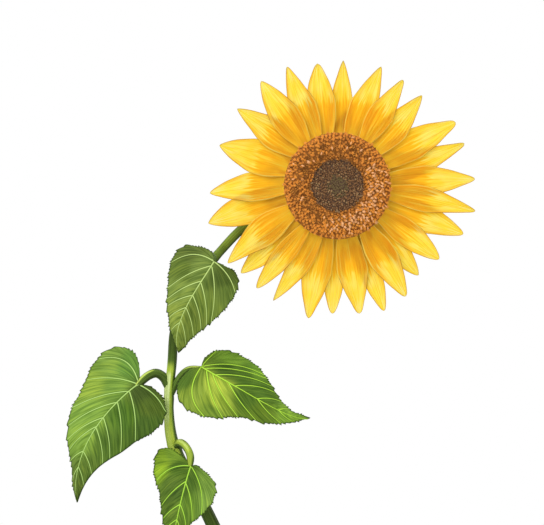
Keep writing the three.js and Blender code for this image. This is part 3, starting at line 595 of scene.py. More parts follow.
def leaf_material(name, rib_green, seed):
    """The blade's own colour with painted light and shade, brushed along the side veins, with pale
    veins edged by painted shade and a dark margin.
    """
    paint = Paint(name, 0.55)
    paint.surface_place()
    # The colour patches: the leaf's own colour with painted light and shade, one side lit and paler,
    # the other shaded and darker.
    paint.colour = paint.attribute("tint_and_shading", "Color")
    strokes = [paint.streaks(*many, 1.0, seed + more) for many, more, _, _ in LEAF_STROKES]
    for stroke, (_, _, dark, light) in zip(strokes, LEAF_STROKES):
        paint.tone(DARKEN, (stroke, *dark))
        if light:
            paint.tone(LIGHTEN, (stroke, *light))
    vein, margin = paint.attribute("vein"), paint.attribute("margin")
    # Painted shade beside each vein, then the pale vein itself.
    paint.tone(DARKEN, (vein, 1.0, 3.6, 0.7, 0.0))
    paint.cover(rib_green, (vein, 0.65, 1.25, 1.0, 0.0))
    paint.tone(DARKEN, (margin, 0.6, 2.6, 0.55, 0.0))
    paint.cover("#2F4117", (margin, 0.45, 1.3, 1.0, 0.0))
    paint.cover("#9DB37A", paint.attribute("under"), 0.5)
    return paint.finish(paint.math("ADD", strokes[1], paint.object_noise(900)), 0.00025)


def petal_material(name, seed, warmth):
    """Orange near the disc, brightened at the root by painted light, pale strokes past the middle
    as painted highlights, a yellow tip, golden flanks, a painted highlight along the rims near the
    root and painted shade beside the neighbours that lie over it.
    """
    paint = Paint(name, 0.5)
    along, across = paint.surface_place()
    ribs = paint.streaks(1.6, 21, 2.0, seed)
    strokes = paint.streaks(2.6, 15, 3.0, seed + 3)
    patches = paint.streaks(3.0, 2.6, 1.0, seed + 8)
    hairs = paint.streaks(1.4, 44, 1.0, seed + 5)
    ragged = paint.math("ADD", along, paint.product(paint.math("SUBTRACT", strokes, 0.5), 0.5))
    edge = paint.math("ABSOLUTE", paint.math("SUBTRACT", across, 0.5))
    from_edge = paint.product(paint.math("SUBTRACT", 0.5, edge), paint.attribute("width"))
    # The root's orange is painted brighter than its pigment: painted light that lifts the shade the
    # drum and the neighbours cast there.
    paint.colour = PETAL_ROOT_COLOUR
    paint.cover("#FFA91A", (along, 0.0, 0.24))
    paint.cover("#FEC32A", (ragged, 0.4, 0.54))
    paint.cover("#F79A18", (patches, 0.45, 0.62), (along, 0.14, 0.5, warmth, 0.0))
    paint.cover("#FECF38", (ragged, 0.56, 0.76))
    # Pale strokes past the middle: painted highlights.
    paint.cover("#FDDE74", (ragged, 0.46, 0.54), (ragged, 0.62, 0.88, 1.0, 0.0),
                (patches, 0.38, 0.6, 0.1, 0.75))
    paint.cover("#F5A826", (edge, 0.26, 0.48), (along, 0.35, 0.6, 0.0, 0.7))
    paint.tone(SIDE_LINES, (ribs, 0.52, 0.62), (along, 0.15, 0.6, 0.3, 1.0))
    paint.cover("#F9E694", (along, 0.7, 0.95, 0.0, 0.8), (strokes, 0.55, 0.4))
    paint.tone(HAIR_LINES, (hairs, 0.55, 0.64), (along, 0.3, 0.7, 0.0, 0.7))
    paint.cover("#FFD850", (ribs, 0.32, 0.46, 0.45, 0.0))
    paint.cover("#CC972C", paint.attribute("shade"), 0.26)
    # A pale line along each edge near the root: a painted highlight on the rim.
    paint.cover("#FFE063", (edge, 0.45, 0.475), (along, 0.45, 0.7, 1.0, 0.0),
                (strokes, 0.35, 0.6, 0.9, 0.35))
    paint.cover("#A47426", (from_edge, 0.2, 0.85, 1.0, 0.0), (along, 0.4, 0.6, 0.1, 0.9))
    paint.cover("#E9B53A", paint.attribute("under"), 0.35)
    paint.shader.inputs["Subsurface Weight"].default_value = 0.5
    paint.shader.inputs["Subsurface Radius"].default_value = (0.9, 0.7, 0.3)
    paint.shader.inputs["Subsurface Scale"].default_value = 0.004
    return paint.finish(ribs, 0.0004)


def stalk_material(name):
    """Green skin with fine lengthwise lines, painted shade on its flanks and on the side away from the
    light, and a painted highlight where it is told.
    """
    paint = Paint(name, 0.55)
    paint.surface_place()
    lines = paint.streaks(16, 24, 3.0)
    grooves = paint.streaks(6, 10, 1.0, 4.0)
    lit_stripe = paint.attribute("lit_stripe")
    paint.colour = linear("#546E28")
    paint.cover("#688534", (paint.object_noise(60, 2.0), 0.35, 0.65))
    # Painted shade where the skin turns from the light, then painted light and a painted highlight on
    # the lit side.
    paint.colour = paint.mix(paint.band(lit_stripe, 0.05, 0.45), linear("#435521"), paint.colour)
    paint.cover("#BFD650", (lit_stripe, 0.4, 0.78))
    paint.cover("#E2F2A2", (lit_stripe, 0.78, 1.0))
    paint.tone(DARKEN, (lines, 0.52, 0.66, 0.0, 0.7))
    paint.tone(LIGHTEN, (lines, 0.34, 0.47, 0.7, 0.0))
    paint.tone(DARKEN, (grooves, 0.54, 0.62, 0.0, 0.5))
    # Painted shade darkens the flanks as seen from the front.
    paint.cover("#303F17", paint.attribute("flank_shade"), 0.65)
    return paint.finish(paint.math("ADD", lines, paint.object_noise(1400)), 0.0003)


def bract_material():
    """Ribbed green, darker towards the foot, in the gaps and along the edges with painted shade, with
    a pale midline and tips that turn olive.
    """
    paint = Paint("bract_green", 0.65)
    along, _ = paint.surface_place()
    lines = paint.streaks(3, 26, 3.0)
    down = paint.object_noise(420, 2.0)
    paint.colour = linear("#64862F")
    # Painted shade: darker towards the foot, where the rows cover each other.
    paint.cover("#84A54C", (along, 0.0, 0.8))
    paint.tone(DARKEN, (lines, 0.5, 0.62, 0.0, 0.7))
    paint.tone(LIGHTEN, (lines, 0.34, 0.46, 0.6, 0.0))
    paint.cover("#A9C07C", (down, 0.45, 0.7, 0.0, 0.3))
    paint.cover("#AECB72", paint.attribute("rib"), 0.6)
    # Painted shade in the cup's furrows and along the bracts' edges near their feet.
    paint.cover("#31471A", paint.attribute("gap"), 0.75)
    paint.cover("#A39A4A", (along, 0.86, 1.0, 0.0, 0.7))
    return paint.finish(paint.math("ADD", lines, down), 0.0004)


def disc_material():
    """Mottled brown between the florets, darker in the heart, and green down the side."""
    paint = Paint("disc_ground", 0.9)
    mottled = paint.band(paint.object_noise(500), 0.35, 0.65)
    ring, heart, wall = [paint.mix(mottled, linear(dark), linear(pale)) for dark, pale in (
        ("#96602E", "#B27438"), ("#4E3A2A", "#665040"), ("#5F7E31", "#7C9B42"))]
    colour = paint.mix(paint.attribute("heart"), ring, heart)
    colour = paint.mix(paint.attribute("wall"), colour, wall)
    paint.tree.links.new(colour, paint.shader.inputs["Base Color"])
    return paint.material


# ------------------------------------------------------------------ meshes

def make_piece(name, points, faces, material, replaces=(), uv=None, values=None, tints_and_shading=None):
    """A smooth mesh object in metres from points in millimetres."""
    mesh = bpy.data.meshes.new(name)
    mesh.from_pydata((np.asarray(points, float).reshape(-1, 3) * MM).tolist(), [], faces)
    if uv is not None:
        layer = mesh.uv_layers.new(name="surface")
        corners = np.zeros(len(mesh.loops), np.int32)
        mesh.loops.foreach_get("vertex_index", corners)
        layer.data.foreach_set("uv", np.asarray(uv, np.float32).reshape(-1, 2)[corners].ravel())
    for key, numbers in (values or {}).items():
        attribute = mesh.attributes.new(key, "FLOAT", "POINT")
        attribute.data.foreach_set("value", np.asarray(numbers, np.float32).ravel())
    if tints_and_shading is not None:
        attribute = mesh.attributes.new("tint_and_shading", "FLOAT_COLOR", "POINT")
        attribute.data.foreach_set("color", np.asarray(tints_and_shading, np.float32).ravel())
    mesh.polygons.foreach_set("use_smooth", np.ones(len(mesh.polygons), bool))
    mesh.materials.append(material)
    mesh.update()
    piece = bpy.data.objects.new(name, mesh)
    bpy.context.scene.collection.objects.link(piece)
    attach(piece, "root")
    for node in replaces:
        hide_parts(node)


def grid_faces(rows, columns, start=0, closed=False, flip=False):
    """Quads between the points of a grid with rows x columns points, row by row."""
    wide = columns if closed else columns - 1
    i, j = np.meshgrid(np.arange(rows - 1), np.arange(wide), indexing="ij")
    a = start + i * columns + j
    b = start + i * columns + (j + 1) % columns
    quads = np.stack([a, b, b + columns, a + columns], -1).reshape(-1, 4)
    return (quads[:, ::-1] if flip else quads).tolist()


def sheet_faces(rows, columns, start=0, mirrored=False):
    """Front grid, back grid and the band round the edge that closes them."""
    back = rows * columns
    faces = grid_faces(rows, columns, start, flip=not mirrored)
    faces += grid_faces(rows, columns, start + back, flip=mirrored)
    ring = list(range(columns))
    ring += [i * columns + columns - 1 for i in range(1, rows)]
    ring += [(rows - 1) * columns + j for j in range(columns - 2, -1, -1)]
    ring += [i * columns for i in range(rows - 2, 0, -1)]
    for here, there in zip(ring, ring[1:] + ring[:1]):
        face = [start + k for k in (here, there, there + back, here + back)]
        faces.append(face[::-1] if mirrored else face)
    return faces


def sheet_points(front, facing, thickness):
    """The front and back corners of a sheet that looks the given way."""
    half = np.asarray(facing, float) * thickness / 2
    return np.concatenate([(front + half).reshape(-1, 3), (front - half).reshape(-1, 3)])


def twice(values):
    """Values of a sheet's grid for its front and its back."""
    return np.concatenate([values, values])


def grid_places(rows, columns):
    """The pairs of each row's value with each column's, row by row."""
    return np.stack(np.meshgrid(rows, columns, indexing="ij"), -1).reshape(-1, 2)


def unit(vectors):
    return vectors / np.linalg.norm(vectors, axis=-1, keepdims=True)


def spline(points, per_span, alpha=0.5):
    """Catmull-Rom curve through points; alpha 0.5 is centripetal, 0 is uniform."""
    points = np.asarray(points, float)
    padded = np.vstack([2 * points[0] - points[1], points, 2 * points[-1] - points[-2]])
    spans = []
    for p0, p1, p2, p3 in zip(padded, padded[1:], padded[2:], padded[3:]):
        d = [max(np.linalg.norm(q - p) ** alpha, 1e-6) for p, q in ((p0, p1), (p1, p2), (p2, p3))]
        m1 = (p1 - p0) / d[0] - (p2 - p0) / (d[0] + d[1]) + (p2 - p1) / d[1]
        m2 = (p2 - p1) / d[1] - (p3 - p1) / (d[1] + d[2]) + (p3 - p2) / d[2]
        t = np.linspace(0, 1, per_span, endpoint=False)[:, None]
        spans.append((2 * t ** 3 - 3 * t ** 2 + 1) * p1 + (t ** 3 - 2 * t ** 2 + t) * m1 * d[1]
                     + (3 * t ** 2 - 2 * t ** 3) * p2 + (t ** 3 - t ** 2) * m2 * d[1])
    return np.vstack(spans + [points[-1:]])


def reach_along(line):
    """How far along a line each of its points lies."""
    return np.concatenate([[0], np.cumsum(np.linalg.norm(np.diff(line, axis=0), axis=1))])


def read_at(values, places, wanted):
    """Each column of values, which are known at places, read where it is wanted."""
    return np.stack([np.interp(wanted, places, column) for column in values.T], -1)


def resample(line, shares):
    """Points at the given shares of a line's length."""
    reach = reach_along(line)
    return read_at(line, reach / reach[-1], shares)


def between(pair, share):
    return pair[0] + (pair[1] - pair[0]) * share


def smoothstep(low, high, x):
    t = np.clip((x - low) / (high - low), 0, 1)
    return t * t * (3 - 2 * t)


def circle(sides):
    return np.linspace(0, 2 * math.pi, sides, endpoint=False)


def ring(radius, turns, height):
    """Points round the z axis."""
    return np.stack([radius * np.cos(turns), radius * np.sin(turns), height + 0 * turns], -1)


def tube(line, radius_at, sides):
    """Rings round a line. radius_at(share, angle) gives the radius; returns points, uv, outward."""
    tangents = unit(np.gradient(line, axis=0))
    reach = reach_along(line)
    angles = circle(sides)
    normal = np.array([0.0, 1.0, 0.0])
    points, uv, outwards = [], [], []
    for centre, tangent, share in zip(line, tangents, reach / reach[-1]):
        normal = unit(normal - tangent * normal.dot(tangent))
        binormal = np.cross(tangent, normal)
        outward = np.cos(angles)[:, None] * normal + np.sin(angles)[:, None] * binormal
        points.append(centre + outward * radius_at(share, angles)[:, None])
        uv.append(np.stack([np.full(sides, share), np.abs(angles / math.pi - 1)], -1))
        outwards.append(outward)
    return np.array(points), np.array(uv), np.array(outwards)


def tube_faces(rings, sides, start=0, flip=False):
    """The wall between the rings and a face over each end."""
    faces = grid_faces(rings, sides, start, closed=True, flip=flip)
    ends = [list(range(start, start + sides))[::-1],
            list(range(start + (rings - 1) * sides, start + rings * sides))]
    return faces + [end[::-1] if flip else end for end in ends]


# ------------------------------------------------------------------ stem and stalks

def stem_radius(share, angle, line_radii):
    plain = np.interp(share, np.linspace(0, 1, len(line_radii)), line_radii)
    ribs = STEM_RIB_DEPTH * np.cos(STEM_RIBS * angle + 2.5 * math.sin(9 * share))
    foot = FOOT_RIDGE_DEPTH * math.exp(-share / FOOT_SHARE) * np.cos(FOOT_RIDGES * angle + 0.8)
    return plain * (1 + ribs + foot + UNEVENNESS * np.sin(37 * share + 2 * angle))


def make_stem():
    line = spline([point[:3] for point in STEM_LINE], STEM_STEPS_PER_SPAN)
    radii = spline([point[3:] for point in STEM_LINE], STEM_STEPS_PER_SPAN, alpha=0)[:, 0]
    reach = reach_along(line)
    shares = np.linspace(0, 1, int(reach[-1] / STEM_ROW_STEP))
    line = resample(line, shares)
    knots = np.array([leaf["stalk"][0] for leaf in LEAVES], float)
    gap = np.linalg.norm(line[:, None] - knots[None], axis=2).min(axis=1)
    radii = np.interp(shares * reach[-1], reach, radii) + KNOT_HEIGHT * np.exp(-(gap / KNOT_REACH) ** 2)
    points, uv, outward = tube(line, lambda share, angle: stem_radius(share, angle, radii), STEM_SIDES)
    points[0, :, 2] = 0
    # Painted light: the side facing LIT_WAY is painted paler, as the table above tells, with a palest
    # painted highlight along it.
    light = outward @ LIT_WAY
    level = np.interp(uv[..., 0], *zip(*STEM_LIGHT))
    lit_stripe = smoothstep(*STEM_LIT, light) * np.minimum(level, PALE_FROM)
    lit_stripe += smoothstep(*STEM_PALEST, light) * np.maximum(level - PALE_FROM, 0)
    make_piece("stem_skin", points, tube_faces(len(points), STEM_SIDES),
               stalk_material("stem_green"), ("stem", "neck"), uv,
               skin_values(outward, lit_stripe, BACK_LIT_STRIPE))


def skin_values(outward, lit_stripe, back_lit_stripe):
    """What the skin of a stem or stalk is told at each point: the painted light of its lit side,
    which on the side away from the front never falls below the back's, and how much painted
    shade darkens the flanks, as they are seen from the front."""
    facing = outward @ FRONT
    across_the_view = smoothstep(*END_ON, np.abs(facing).max(axis=1, keepdims=True))
    behind = np.maximum(smoothstep(-0.1, 0.5, -facing), 1 - across_the_view)
    narrow_behind = np.maximum(facing, -3 * facing)
    # Painted shade on the flanks as seen from the front, less where a ring is seen end on.
    flank_shade = (1 - smoothstep(0.1, 0.55, narrow_behind)) * across_the_view
    return {"lit_stripe": np.maximum(lit_stripe, back_lit_stripe * behind), "flank_shade": flank_shade}


def make_stalk(number, leaf, rib_line):
    """The stalk, thick where it leaves the stem, running on under the blade as its midrib."""
    line = np.vstack([spline(leaf["stalk"] + [rib_line[0]], 16), rib_line[1:]])
    reach = reach_along(line)
    line = resample(line, np.linspace(0, 1, int(reach[-1] / STALK_ROW_STEP)))
    joint = reach[-len(rib_line)] / reach[-1]
    root, end = leaf["stalk_radii"]

    def radius(share, angle):
        on_stalk = root + (end - root) * min(share / joint, 1)
        on_rib = RIB_START * max(1 - (share - joint) / (1 - joint), 0) ** RIB_TAPER
        under = smoothstep(0.8 * joint, joint + 0.04, share)
        collar = 1 - COLLAR_DEPTH * math.exp(-(share / (0.1 * joint)) ** 2)
        groove = 1 - STALK_GROOVE_DEPTH * np.cos(STALK_GROOVES * angle)
        return np.maximum((on_stalk * collar * (1 - under) + on_rib * under) * groove, RIB_LEAST)

    points, uv, outward = tube(line, radius, STALK_SIDES)
    # Painted light: the side facing STALK_LIT_WAY is painted paler, as far as each leaf tells, with a
    # painted shine along the top.
    light = outward @ STALK_LIT_WAY
    lit_stripe = leaf["stalk_green"] * smoothstep(*STALK_LIT, light) + 0.6 * smoothstep(*STALK_SHINE, light)
    on_rib = smoothstep(0.8 * joint, joint, uv[..., 0])
    name = "stalk_%d" % number
    make_piece(name + "_skin", points, tube_faces(len(points), STALK_SIDES),
               stalk_material(name + "_green"), (name,), uv,
               skin_values(outward, np.minimum(lit_stripe, STALK_PALEST),
                           BACK_LIT_STRIPE + (RIB_LIT_STRIPE - BACK_LIT_STRIPE) * on_rib))


# ------------------------------------------------------------------ leaves

def midrib_offset(leaf, along):
    bent = np.clip(along, 0, 1) ** (math.log(0.5) / math.log(leaf["bow_at"]))
    return leaf["bow"] * np.maximum(np.sin(math.pi * bent), 0) ** MIDRIB_FLATNESS


def edge_teeth(outline, ends, smooth_from):
    """Forward-pointing saw teeth of uneven size, as steps off the outline at the given shares."""
    even = np.linspace(0, 1, 400)
    tangent = unit(read_at(np.gradient(resample(outline, even), axis=0), even, ends))
    outward = np.stack([-tangent[:, 1], tangent[:, 0]], -1) * np.sign(outline[len(outline) // 2, 1])
    count = ends * TEETH_PER_SIDE + 1.1 * np.sin(13 * ends) + 0.6 * np.sin(31 * ends + 1)
    beat = count % 1.0
    tooth = np.where(beat < TOOTH_BACK, beat / TOOTH_BACK, (1 - beat) / (1 - TOOTH_BACK))
    size = TOOTH_DEPTH * (0.45 + 1.1 * np.sin(7 * np.floor(count)) ** 2)
    size *= smoothstep(*TEETH_FROM, ends) * (1 - smoothstep(smooth_from - 0.06, smooth_from, ends))
    return (outward + TOOTH_LEAN * tangent) * (tooth * size)[:, None]


def vein_rows(leaf, side, outline):
    """The grid's rows on one side: start on the midrib, end on the edge, bulge, vein number."""
    reach = reach_along(outline)
    stops = [(0, 0, 0)]
    for start, along, across, bulge in leaf["veins"][side]:
        gap = np.linalg.norm(outline - np.array([along, across]) * outline[-1, 0], axis=1)
        stops.append((start, reach[np.argmin(gap)] / reach[-1], bulge))
    stops = np.array(stops + [(1, 1, 0)])
    numbers = [np.array([0.0])]
    for i, (here, there) in enumerate(zip(stops, stops[1:])):
        count = max(ROWS_PER_VEIN, round((there[1] - here[1]) * reach[-1] / ROW_STEP))
        numbers.append(i + np.arange(1, count + 1) / count)
    numbers = np.concatenate(numbers)
    return *read_at(stops, np.arange(len(stops)), numbers).T, numbers


def leaf_half(leaf, side, length):
    """Flat places in mm of half a blade, rows along its veins, and what is known at each."""
    outline = spline([(0, 0)] + leaf["outline"][side] + [(1, 0)], 30, alpha=0) * length
    starts, ends, bulges, numbers = vein_rows(leaf, side, outline)
    rib = np.stack([starts, midrib_offset(leaf, starts)], -1) * length
    edge = resample(outline, ends)
    chord = edge - rib
    baseward = np.stack([chord[:, 1], -chord[:, 0]], -1) * (-1 if side == 0 else 1)
    middle = (rib + edge) / 2 - baseward * 2 * bulges[:, None]
    a = np.sin(np.linspace(0, math.pi / 2, HALF_COLUMNS + 1))
    out = a[None, :, None]
    flat = rib[:, None] * (1 - out) ** 2 + middle[:, None] * 2 * out * (1 - out)
    flat += edge[:, None] * out ** 2
    teeth = edge_teeth(outline, ends, leaf.get("smooth_from", SMOOTH_FROM)[side])
    flat += teeth[:, None] * smoothstep(0.9, 1.0, out)
    vein, swell = vein_relief(flat, ends, numbers, a, rib, len(leaf["veins"][side]))
    return flat, ends, a, vein, swell


def vein_relief(flat, ends, numbers, a, rib, last):
    """Distance from the nearest vein over that vein's half-width, and the swell between veins."""
    per_number = np.gradient(flat, numbers, axis=0)
    sideways = np.gradient(flat, a, axis=1)
    sideways /= np.linalg.norm(sideways, axis=-1, keepdims=True) + 1e-9
    per_number = np.abs(per_number[..., 0] * sideways[..., 1] - per_number[..., 1] * sideways[..., 0])
    nearest = np.clip(np.round(numbers), 1, last)
    side_mm = np.abs(numbers - nearest)[:, None] * per_number
    rib_mm = np.linalg.norm(flat - rib[:, None], axis=-1)
    width = between(VEIN_HALF_WIDTH, a)[None] * between(VEIN_THINNING, ends)[:, None]
    away = 1 - np.exp(-(rib_mm / RIB_TROUGH) ** 2)
    swell = (1 - np.exp(-(side_mm / VEIN_TROUGH) ** 2)) * away * (1 - a[None] ** 4)
    return side_mm / width, swell


def blade_height(leaf, flat, length, a, side, seed):
    """Height over the flat plane through junction and tip, as the solids have it, and a wave."""
    along = flat[..., 0] / length
    from_rib = flat[..., 1] - midrib_offset(leaf, along) * length
    arch = leaf["arch"] * np.sin(math.pi * along) * np.where(along > 0, 1, LOBE_ARCH)
    fold = leaf["fold"] * (np.hypot(from_rib, FOLD_ROUNDING) - FOLD_ROUNDING)
    height, radians = WAVE
    return arch - fold + height * a[None] ** 3 * np.sin(radians * along + seed + 4 * side)


def leaf_axes(leaf):
    junction, tip = (np.array(leaf[key], float) for key in ("junction", "tip"))
    along = unit(tip - junction)
    across = unit(np.cross(leaf["face"], along))
    return junction, along, across, np.cross(along, across)


def tints_at(tints_and_shading, shares):
    """A soft blend of the colour patches, the leaf's own colour with painted light and shade, at
    places in shares of the leaf's length.
    """
    places = np.array([tint_and_shading[:2] for tint_and_shading in tints_and_shading])
    colours = np.array([linear(tint_and_shading[2]) for tint_and_shading in tints_and_shading])
    gap = ((shares[:, None] - places[None]) ** 2).sum(-1)
    weight = (gap + TINT_SOFTNESS) ** -TINT_SHARPNESS
    return (weight @ colours) / weight.sum(1, keepdims=True)


def make_leaf(number, leaf, seed):
    length = np.linalg.norm(np.subtract(leaf["tip"], leaf["junction"]))
    junction, x_axis, y_axis, z_axis = leaf_axes(leaf)

    def place(flat, height):
        return junction + flat[..., :1] * x_axis + flat[..., 1:] * y_axis + height[..., None] * z_axis

    parts, faces, start = [], [], 0
    for side in (0, 1):
        flat, ends, a, vein, swell = leaf_half(leaf, side, length)
        height = blade_height(leaf, flat, length, a, side, seed) + SWELL_HEIGHT * swell
        margin = np.linalg.norm(flat - flat[:, -1:], axis=-1)
        faces += sheet_faces(len(ends), len(a), start, mirrored=side == 0)
        parts.append((sheet_points(place(flat, height), z_axis, LEAF_THICKNESS),
                      twice(grid_places(ends, 0.5 + a / 2 * (1 if side else -1))),
                      twice(vein.ravel()), twice(margin.ravel()), np.repeat([0.0, 1.0], vein.size),
                      twice(flat.reshape(-1, 2) / length)))
        start += len(parts[-1][0])

    along = np.linspace(0, RIDGE_END, RIDGE_ROWS)
    rib = np.stack([along, midrib_offset(leaf, along)], -1) * length
    line = place(rib, blade_height(leaf, rib, length, np.zeros(1), 0, seed)[0])
    rings, uv, _ = tube(line + z_axis * RIDGE_HEIGHT,
                        lambda share, angle: between(RIDGE_RADIUS, share) + 0 * angle,
                        RIDGE_SIDES)
    faces += tube_faces(len(rings), RIDGE_SIDES, start)
    none = np.zeros(rings[..., 0].size)
    parts.append((rings.reshape(-1, 3), uv.reshape(-1, 2) * (1, 0) + (0, 0.5), none, none + length,
                  none, np.repeat(rib / length, RIDGE_SIDES, axis=0)))

    points, uv, vein, margin, under, shares = (np.concatenate(column) for column in zip(*parts))
    name = "leaf_%d" % number
    make_piece("blade_%d" % number, points, faces,
               leaf_material(name + "_green", leaf["rib_green"], seed), (name,), uv,
               {"vein": vein, "margin": margin, "under": under}, tints_at(leaf["tints_and_shading"], shares))
    depth = LEAF_THICKNESS / 2 + RIB_START * (1 - along[:, None]) ** RIB_TAPER
    make_stalk(number, leaf, (line - z_axis * depth)[1::3])


# ------------------------------------------------------------------ flower head

disc_low, disc_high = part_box("disc")
HEAD = np.array([(disc_low.x + disc_high.x) / 2, disc_high.y, (disc_low.z + disc_high.z) / 2]) / MM
HEAD[1] += 0.3  # the disc's solid starts this much in front of the head's own plane


def to_plant(points):
    """From the head's own frame to the plant's."""
    points = np.asarray(points, float)
    return HEAD + np.stack([points[..., 0], -points[..., 2], points[..., 1]], -1)


def polar(radius, degrees):
    angle = math.radians(degrees)
    return radius * np.array([math.cos(angle), math.sin(angle)])


def ray_line(root_radius, reach, root_angle, tip_angle, shares):
    """A bent line from the drum to the tip, in the head's plane."""
    root, tip = polar(root_radius, root_angle), polar(reach, tip_angle)
    middle = polar((root_radius + reach) / 2, root_angle + (tip_angle - root_angle) * RAY_BEND)
    t = shares[:, None]
    return (1 - t) ** 2 * root + 2 * t * (1 - t) * middle + t ** 2 * tip


def ray_grid(line, width, across):
    tangent = unit(np.gradient(line, axis=0))
    sideways = np.stack([-tangent[:, 1], tangent[:, 0]], -1)
    return line[:, None] + sideways[:, None] * (across[None, :, None] / 2 * width[:, None, None])


def petal_width(share, petal):
    reach, width, layer, fullness, bluntness = petal[2:]
    root = PETAL_ROOT_WIDTH[layer]
    inner = root + (1 - root) * np.sin(math.pi / 2 * np.clip(share / PETAL_FULL_AT, 0, 1))
    past = np.clip((share - PETAL_FULL_AT) / (1 - PETAL_FULL_AT), 0, 1)
    from_tip = (1 - share) * (reach - DRUM_RADIUS)
    blunt = 1 - np.exp(-from_tip / TIP_ROUND_WITHIN)
    blunt *= bluntness * np.exp(-(from_tip / TIP_BLUNT_TO) ** 2)
    return width * inner * (1 - past ** fullness) ** PETAL_TIP_ROUNDING + blunt


def petal_grid(petal):
    """Flat places of a petal's grid in the head's plane, and its shares along and across."""
    root_angle, tip_angle, reach, _, _, _, bluntness = petal
    shares = 1 - np.linspace(1, 0, PETAL_ROWS + 1) ** PETAL_ROWS_CROWD
    across = np.linspace(-1, 1, PETAL_COLUMNS + 1)
    line = ray_line(DRUM_RADIUS - PETAL_ROOT_DEPTH, reach - bluntness, root_angle, tip_angle, shares)
    wave, radians = EDGE_WAVE
    widths = petal_width(shares, petal) * (1 + wave * np.sin(radians * shares + root_angle))
    return ray_grid(line, widths, across), shares, across


def petal_shade(flat, index):
    """1 where a petal dips under the edge of a neighbour that lies over it, fading away."""
    gap = np.full(flat.shape[:2], 99.0)
    for step in (-2, -1, 1, 2):
        neighbour = PETALS[(index + step) % len(PETALS)]
        if neighbour[4] > PETALS[index][4]:
            grid = petal_grid(neighbour)[0]
            edges = np.concatenate([grid[:, 0], grid[:, -1]])
            gap = np.minimum(gap, np.linalg.norm(flat[:, :, None] - edges, axis=-1).min(axis=-1))
    radius = np.linalg.norm(flat, axis=-1)
    return (1 - smoothstep(*SHADE_REACH, gap)) * (1 - smoothstep(*SHADE_FADE, radius))


def make_petal(petal, index):
    flat, shares, across = petal_grid(petal)
    s, a = shares[:, None], across[None]
    twist, curl, sway = (rng.uniform(*ends) for ends in (PETAL_TWIST, PETAL_CURL, PETAL_SWAY))
    depth, place, half_width = CREASE
    ripple, radians = RIPPLE
    height = PETAL_FIRST_LAYER + PETAL_LAYER_STEP * petal[4]
    height = height + ROOT_LIFT * (ROOT_LEVEL - height) * np.exp(-s / ROOT_LIFT_LENGTH)
    height = height + PETAL_ARCH * np.sin(PETAL_ARCH_TURN * s) + PETAL_CUP * a ** 2
    height -= depth * np.exp(-((np.abs(a) - place) / half_width) ** 2) * np.sin(math.pi * s)
    height += ripple * np.cos(radians * a + sway) * smoothstep(0.05, 0.3, s) * (1 - s)
    height += smoothstep(0.5, 1.0, s) * (curl + 1.5 * twist * a)
    front = to_plant(np.dstack([flat, height]))
    width = np.linalg.norm(flat[:, -1] - flat[:, 0], axis=-1)
    name = "petal_%02d" % (index + 1)
    make_piece(name + "_ray", sheet_points(front, FRONT, PETAL_THICKNESS),
               sheet_faces(len(shares), len(across)),
               petal_material(name + "_yellow", 7.0 * index, rng.uniform(*PETAL_WARMTH)), (name,),
               twice(grid_places(shares, across / 2 + 0.5)),
               {"under": np.repeat([0.0, 1.0], height.size),
                "shade": twice(petal_shade(flat, index)),
                "width": twice(np.repeat(width, len(across)))})


def turned_points(profile, sides, steps):
    """Rings of a body of revolution round the head's axis."""
    fine = resample(spline(profile, 8), np.linspace(0, 1, steps))
    return ring(fine[:, :1], circle(sides), fine[:, 1:])


def make_disc_core():
    profile = [(0.2, 13.4)] + [(radius, height - CORE_SINK) for radius, height in DISC_PROFILE[1:]]
    rings = turned_points(profile, DISC_SIDES, 70)
    radius = np.linalg.norm(rings[..., :2], axis=-1)
    make_piece("disc_core", to_plant(rings), tube_faces(len(rings), DISC_SIDES, flip=True),
               disc_material(), ("disc",),
               values={"heart": 1 - smoothstep(HEART_RADIUS - 1, HEART_RADIUS + 1, radius),
                       "wall": 1 - smoothstep(*WALL_GREEN_TO, rings[..., 2])})


def open_floret():
    """A short tube whose rim spreads in pointed lobes."""
    turns = circle(2 * LOBES)
    tip = np.arange(2 * LOBES) % 2 == 0
    rings = [ring(radius + spread * tip, turns, height + lift * tip)
             for radius, height, spread, lift in OPEN_FLORET]
    return np.concatenate(rings), tube_faces(len(rings), 2 * LOBES)


def closed_floret(sides, profile):
    rings = [ring(radius, circle(sides), height) for radius, height in profile]
    return np.concatenate(rings), tube_faces(len(rings), sides)


def floret_dash():
    """A narrow petal-like lobe that lies outwards over an open floret."""
    steps = np.linspace(-1, 1, 7)
    line = np.stack([steps, 0 * steps, 0.5 + 0.25 * steps - 0.35 * steps ** 2], -1)
    rings, _, _ = tube(line, lambda share, angle: 0.36 * math.sin(0.3 + 2.5 * share) + 0 * angle, 6)
    return rings.reshape(-1, 3), tube_faces(len(steps), 6)


def scatter(name, template, places, material, replaces=()):
    """Copies of a template, as one mesh, at (x, y, z, outward lean, turn, size, tallness)."""
    shape, faces = template
    points, all_faces = [], []
    for k, (x, y, z, lean, turn, size, tall) in enumerate(places):
        spun = np.stack([shape[:, 0] * math.cos(turn) - shape[:, 1] * math.sin(turn),
                         shape[:, 0] * math.sin(turn) + shape[:, 1] * math.cos(turn),
                         shape[:, 2] * tall], -1) * size
        angle = math.atan2(y, x)
        out = spun[:, 0] * math.cos(lean) + spun[:, 2] * math.sin(lean)
        up = spun[:, 2] * math.cos(lean) - spun[:, 0] * math.sin(lean)
        points.append(np.stack([x + out * math.cos(angle) - spun[:, 1] * math.sin(angle),
                                y + out * math.sin(angle) + spun[:, 1] * math.cos(angle), z + up], -1))
        all_faces += [[k * len(shape) + corner for corner in face] for face in faces]
    make_piece(name, to_plant(np.concatenate(points)), all_faces, material, replaces)


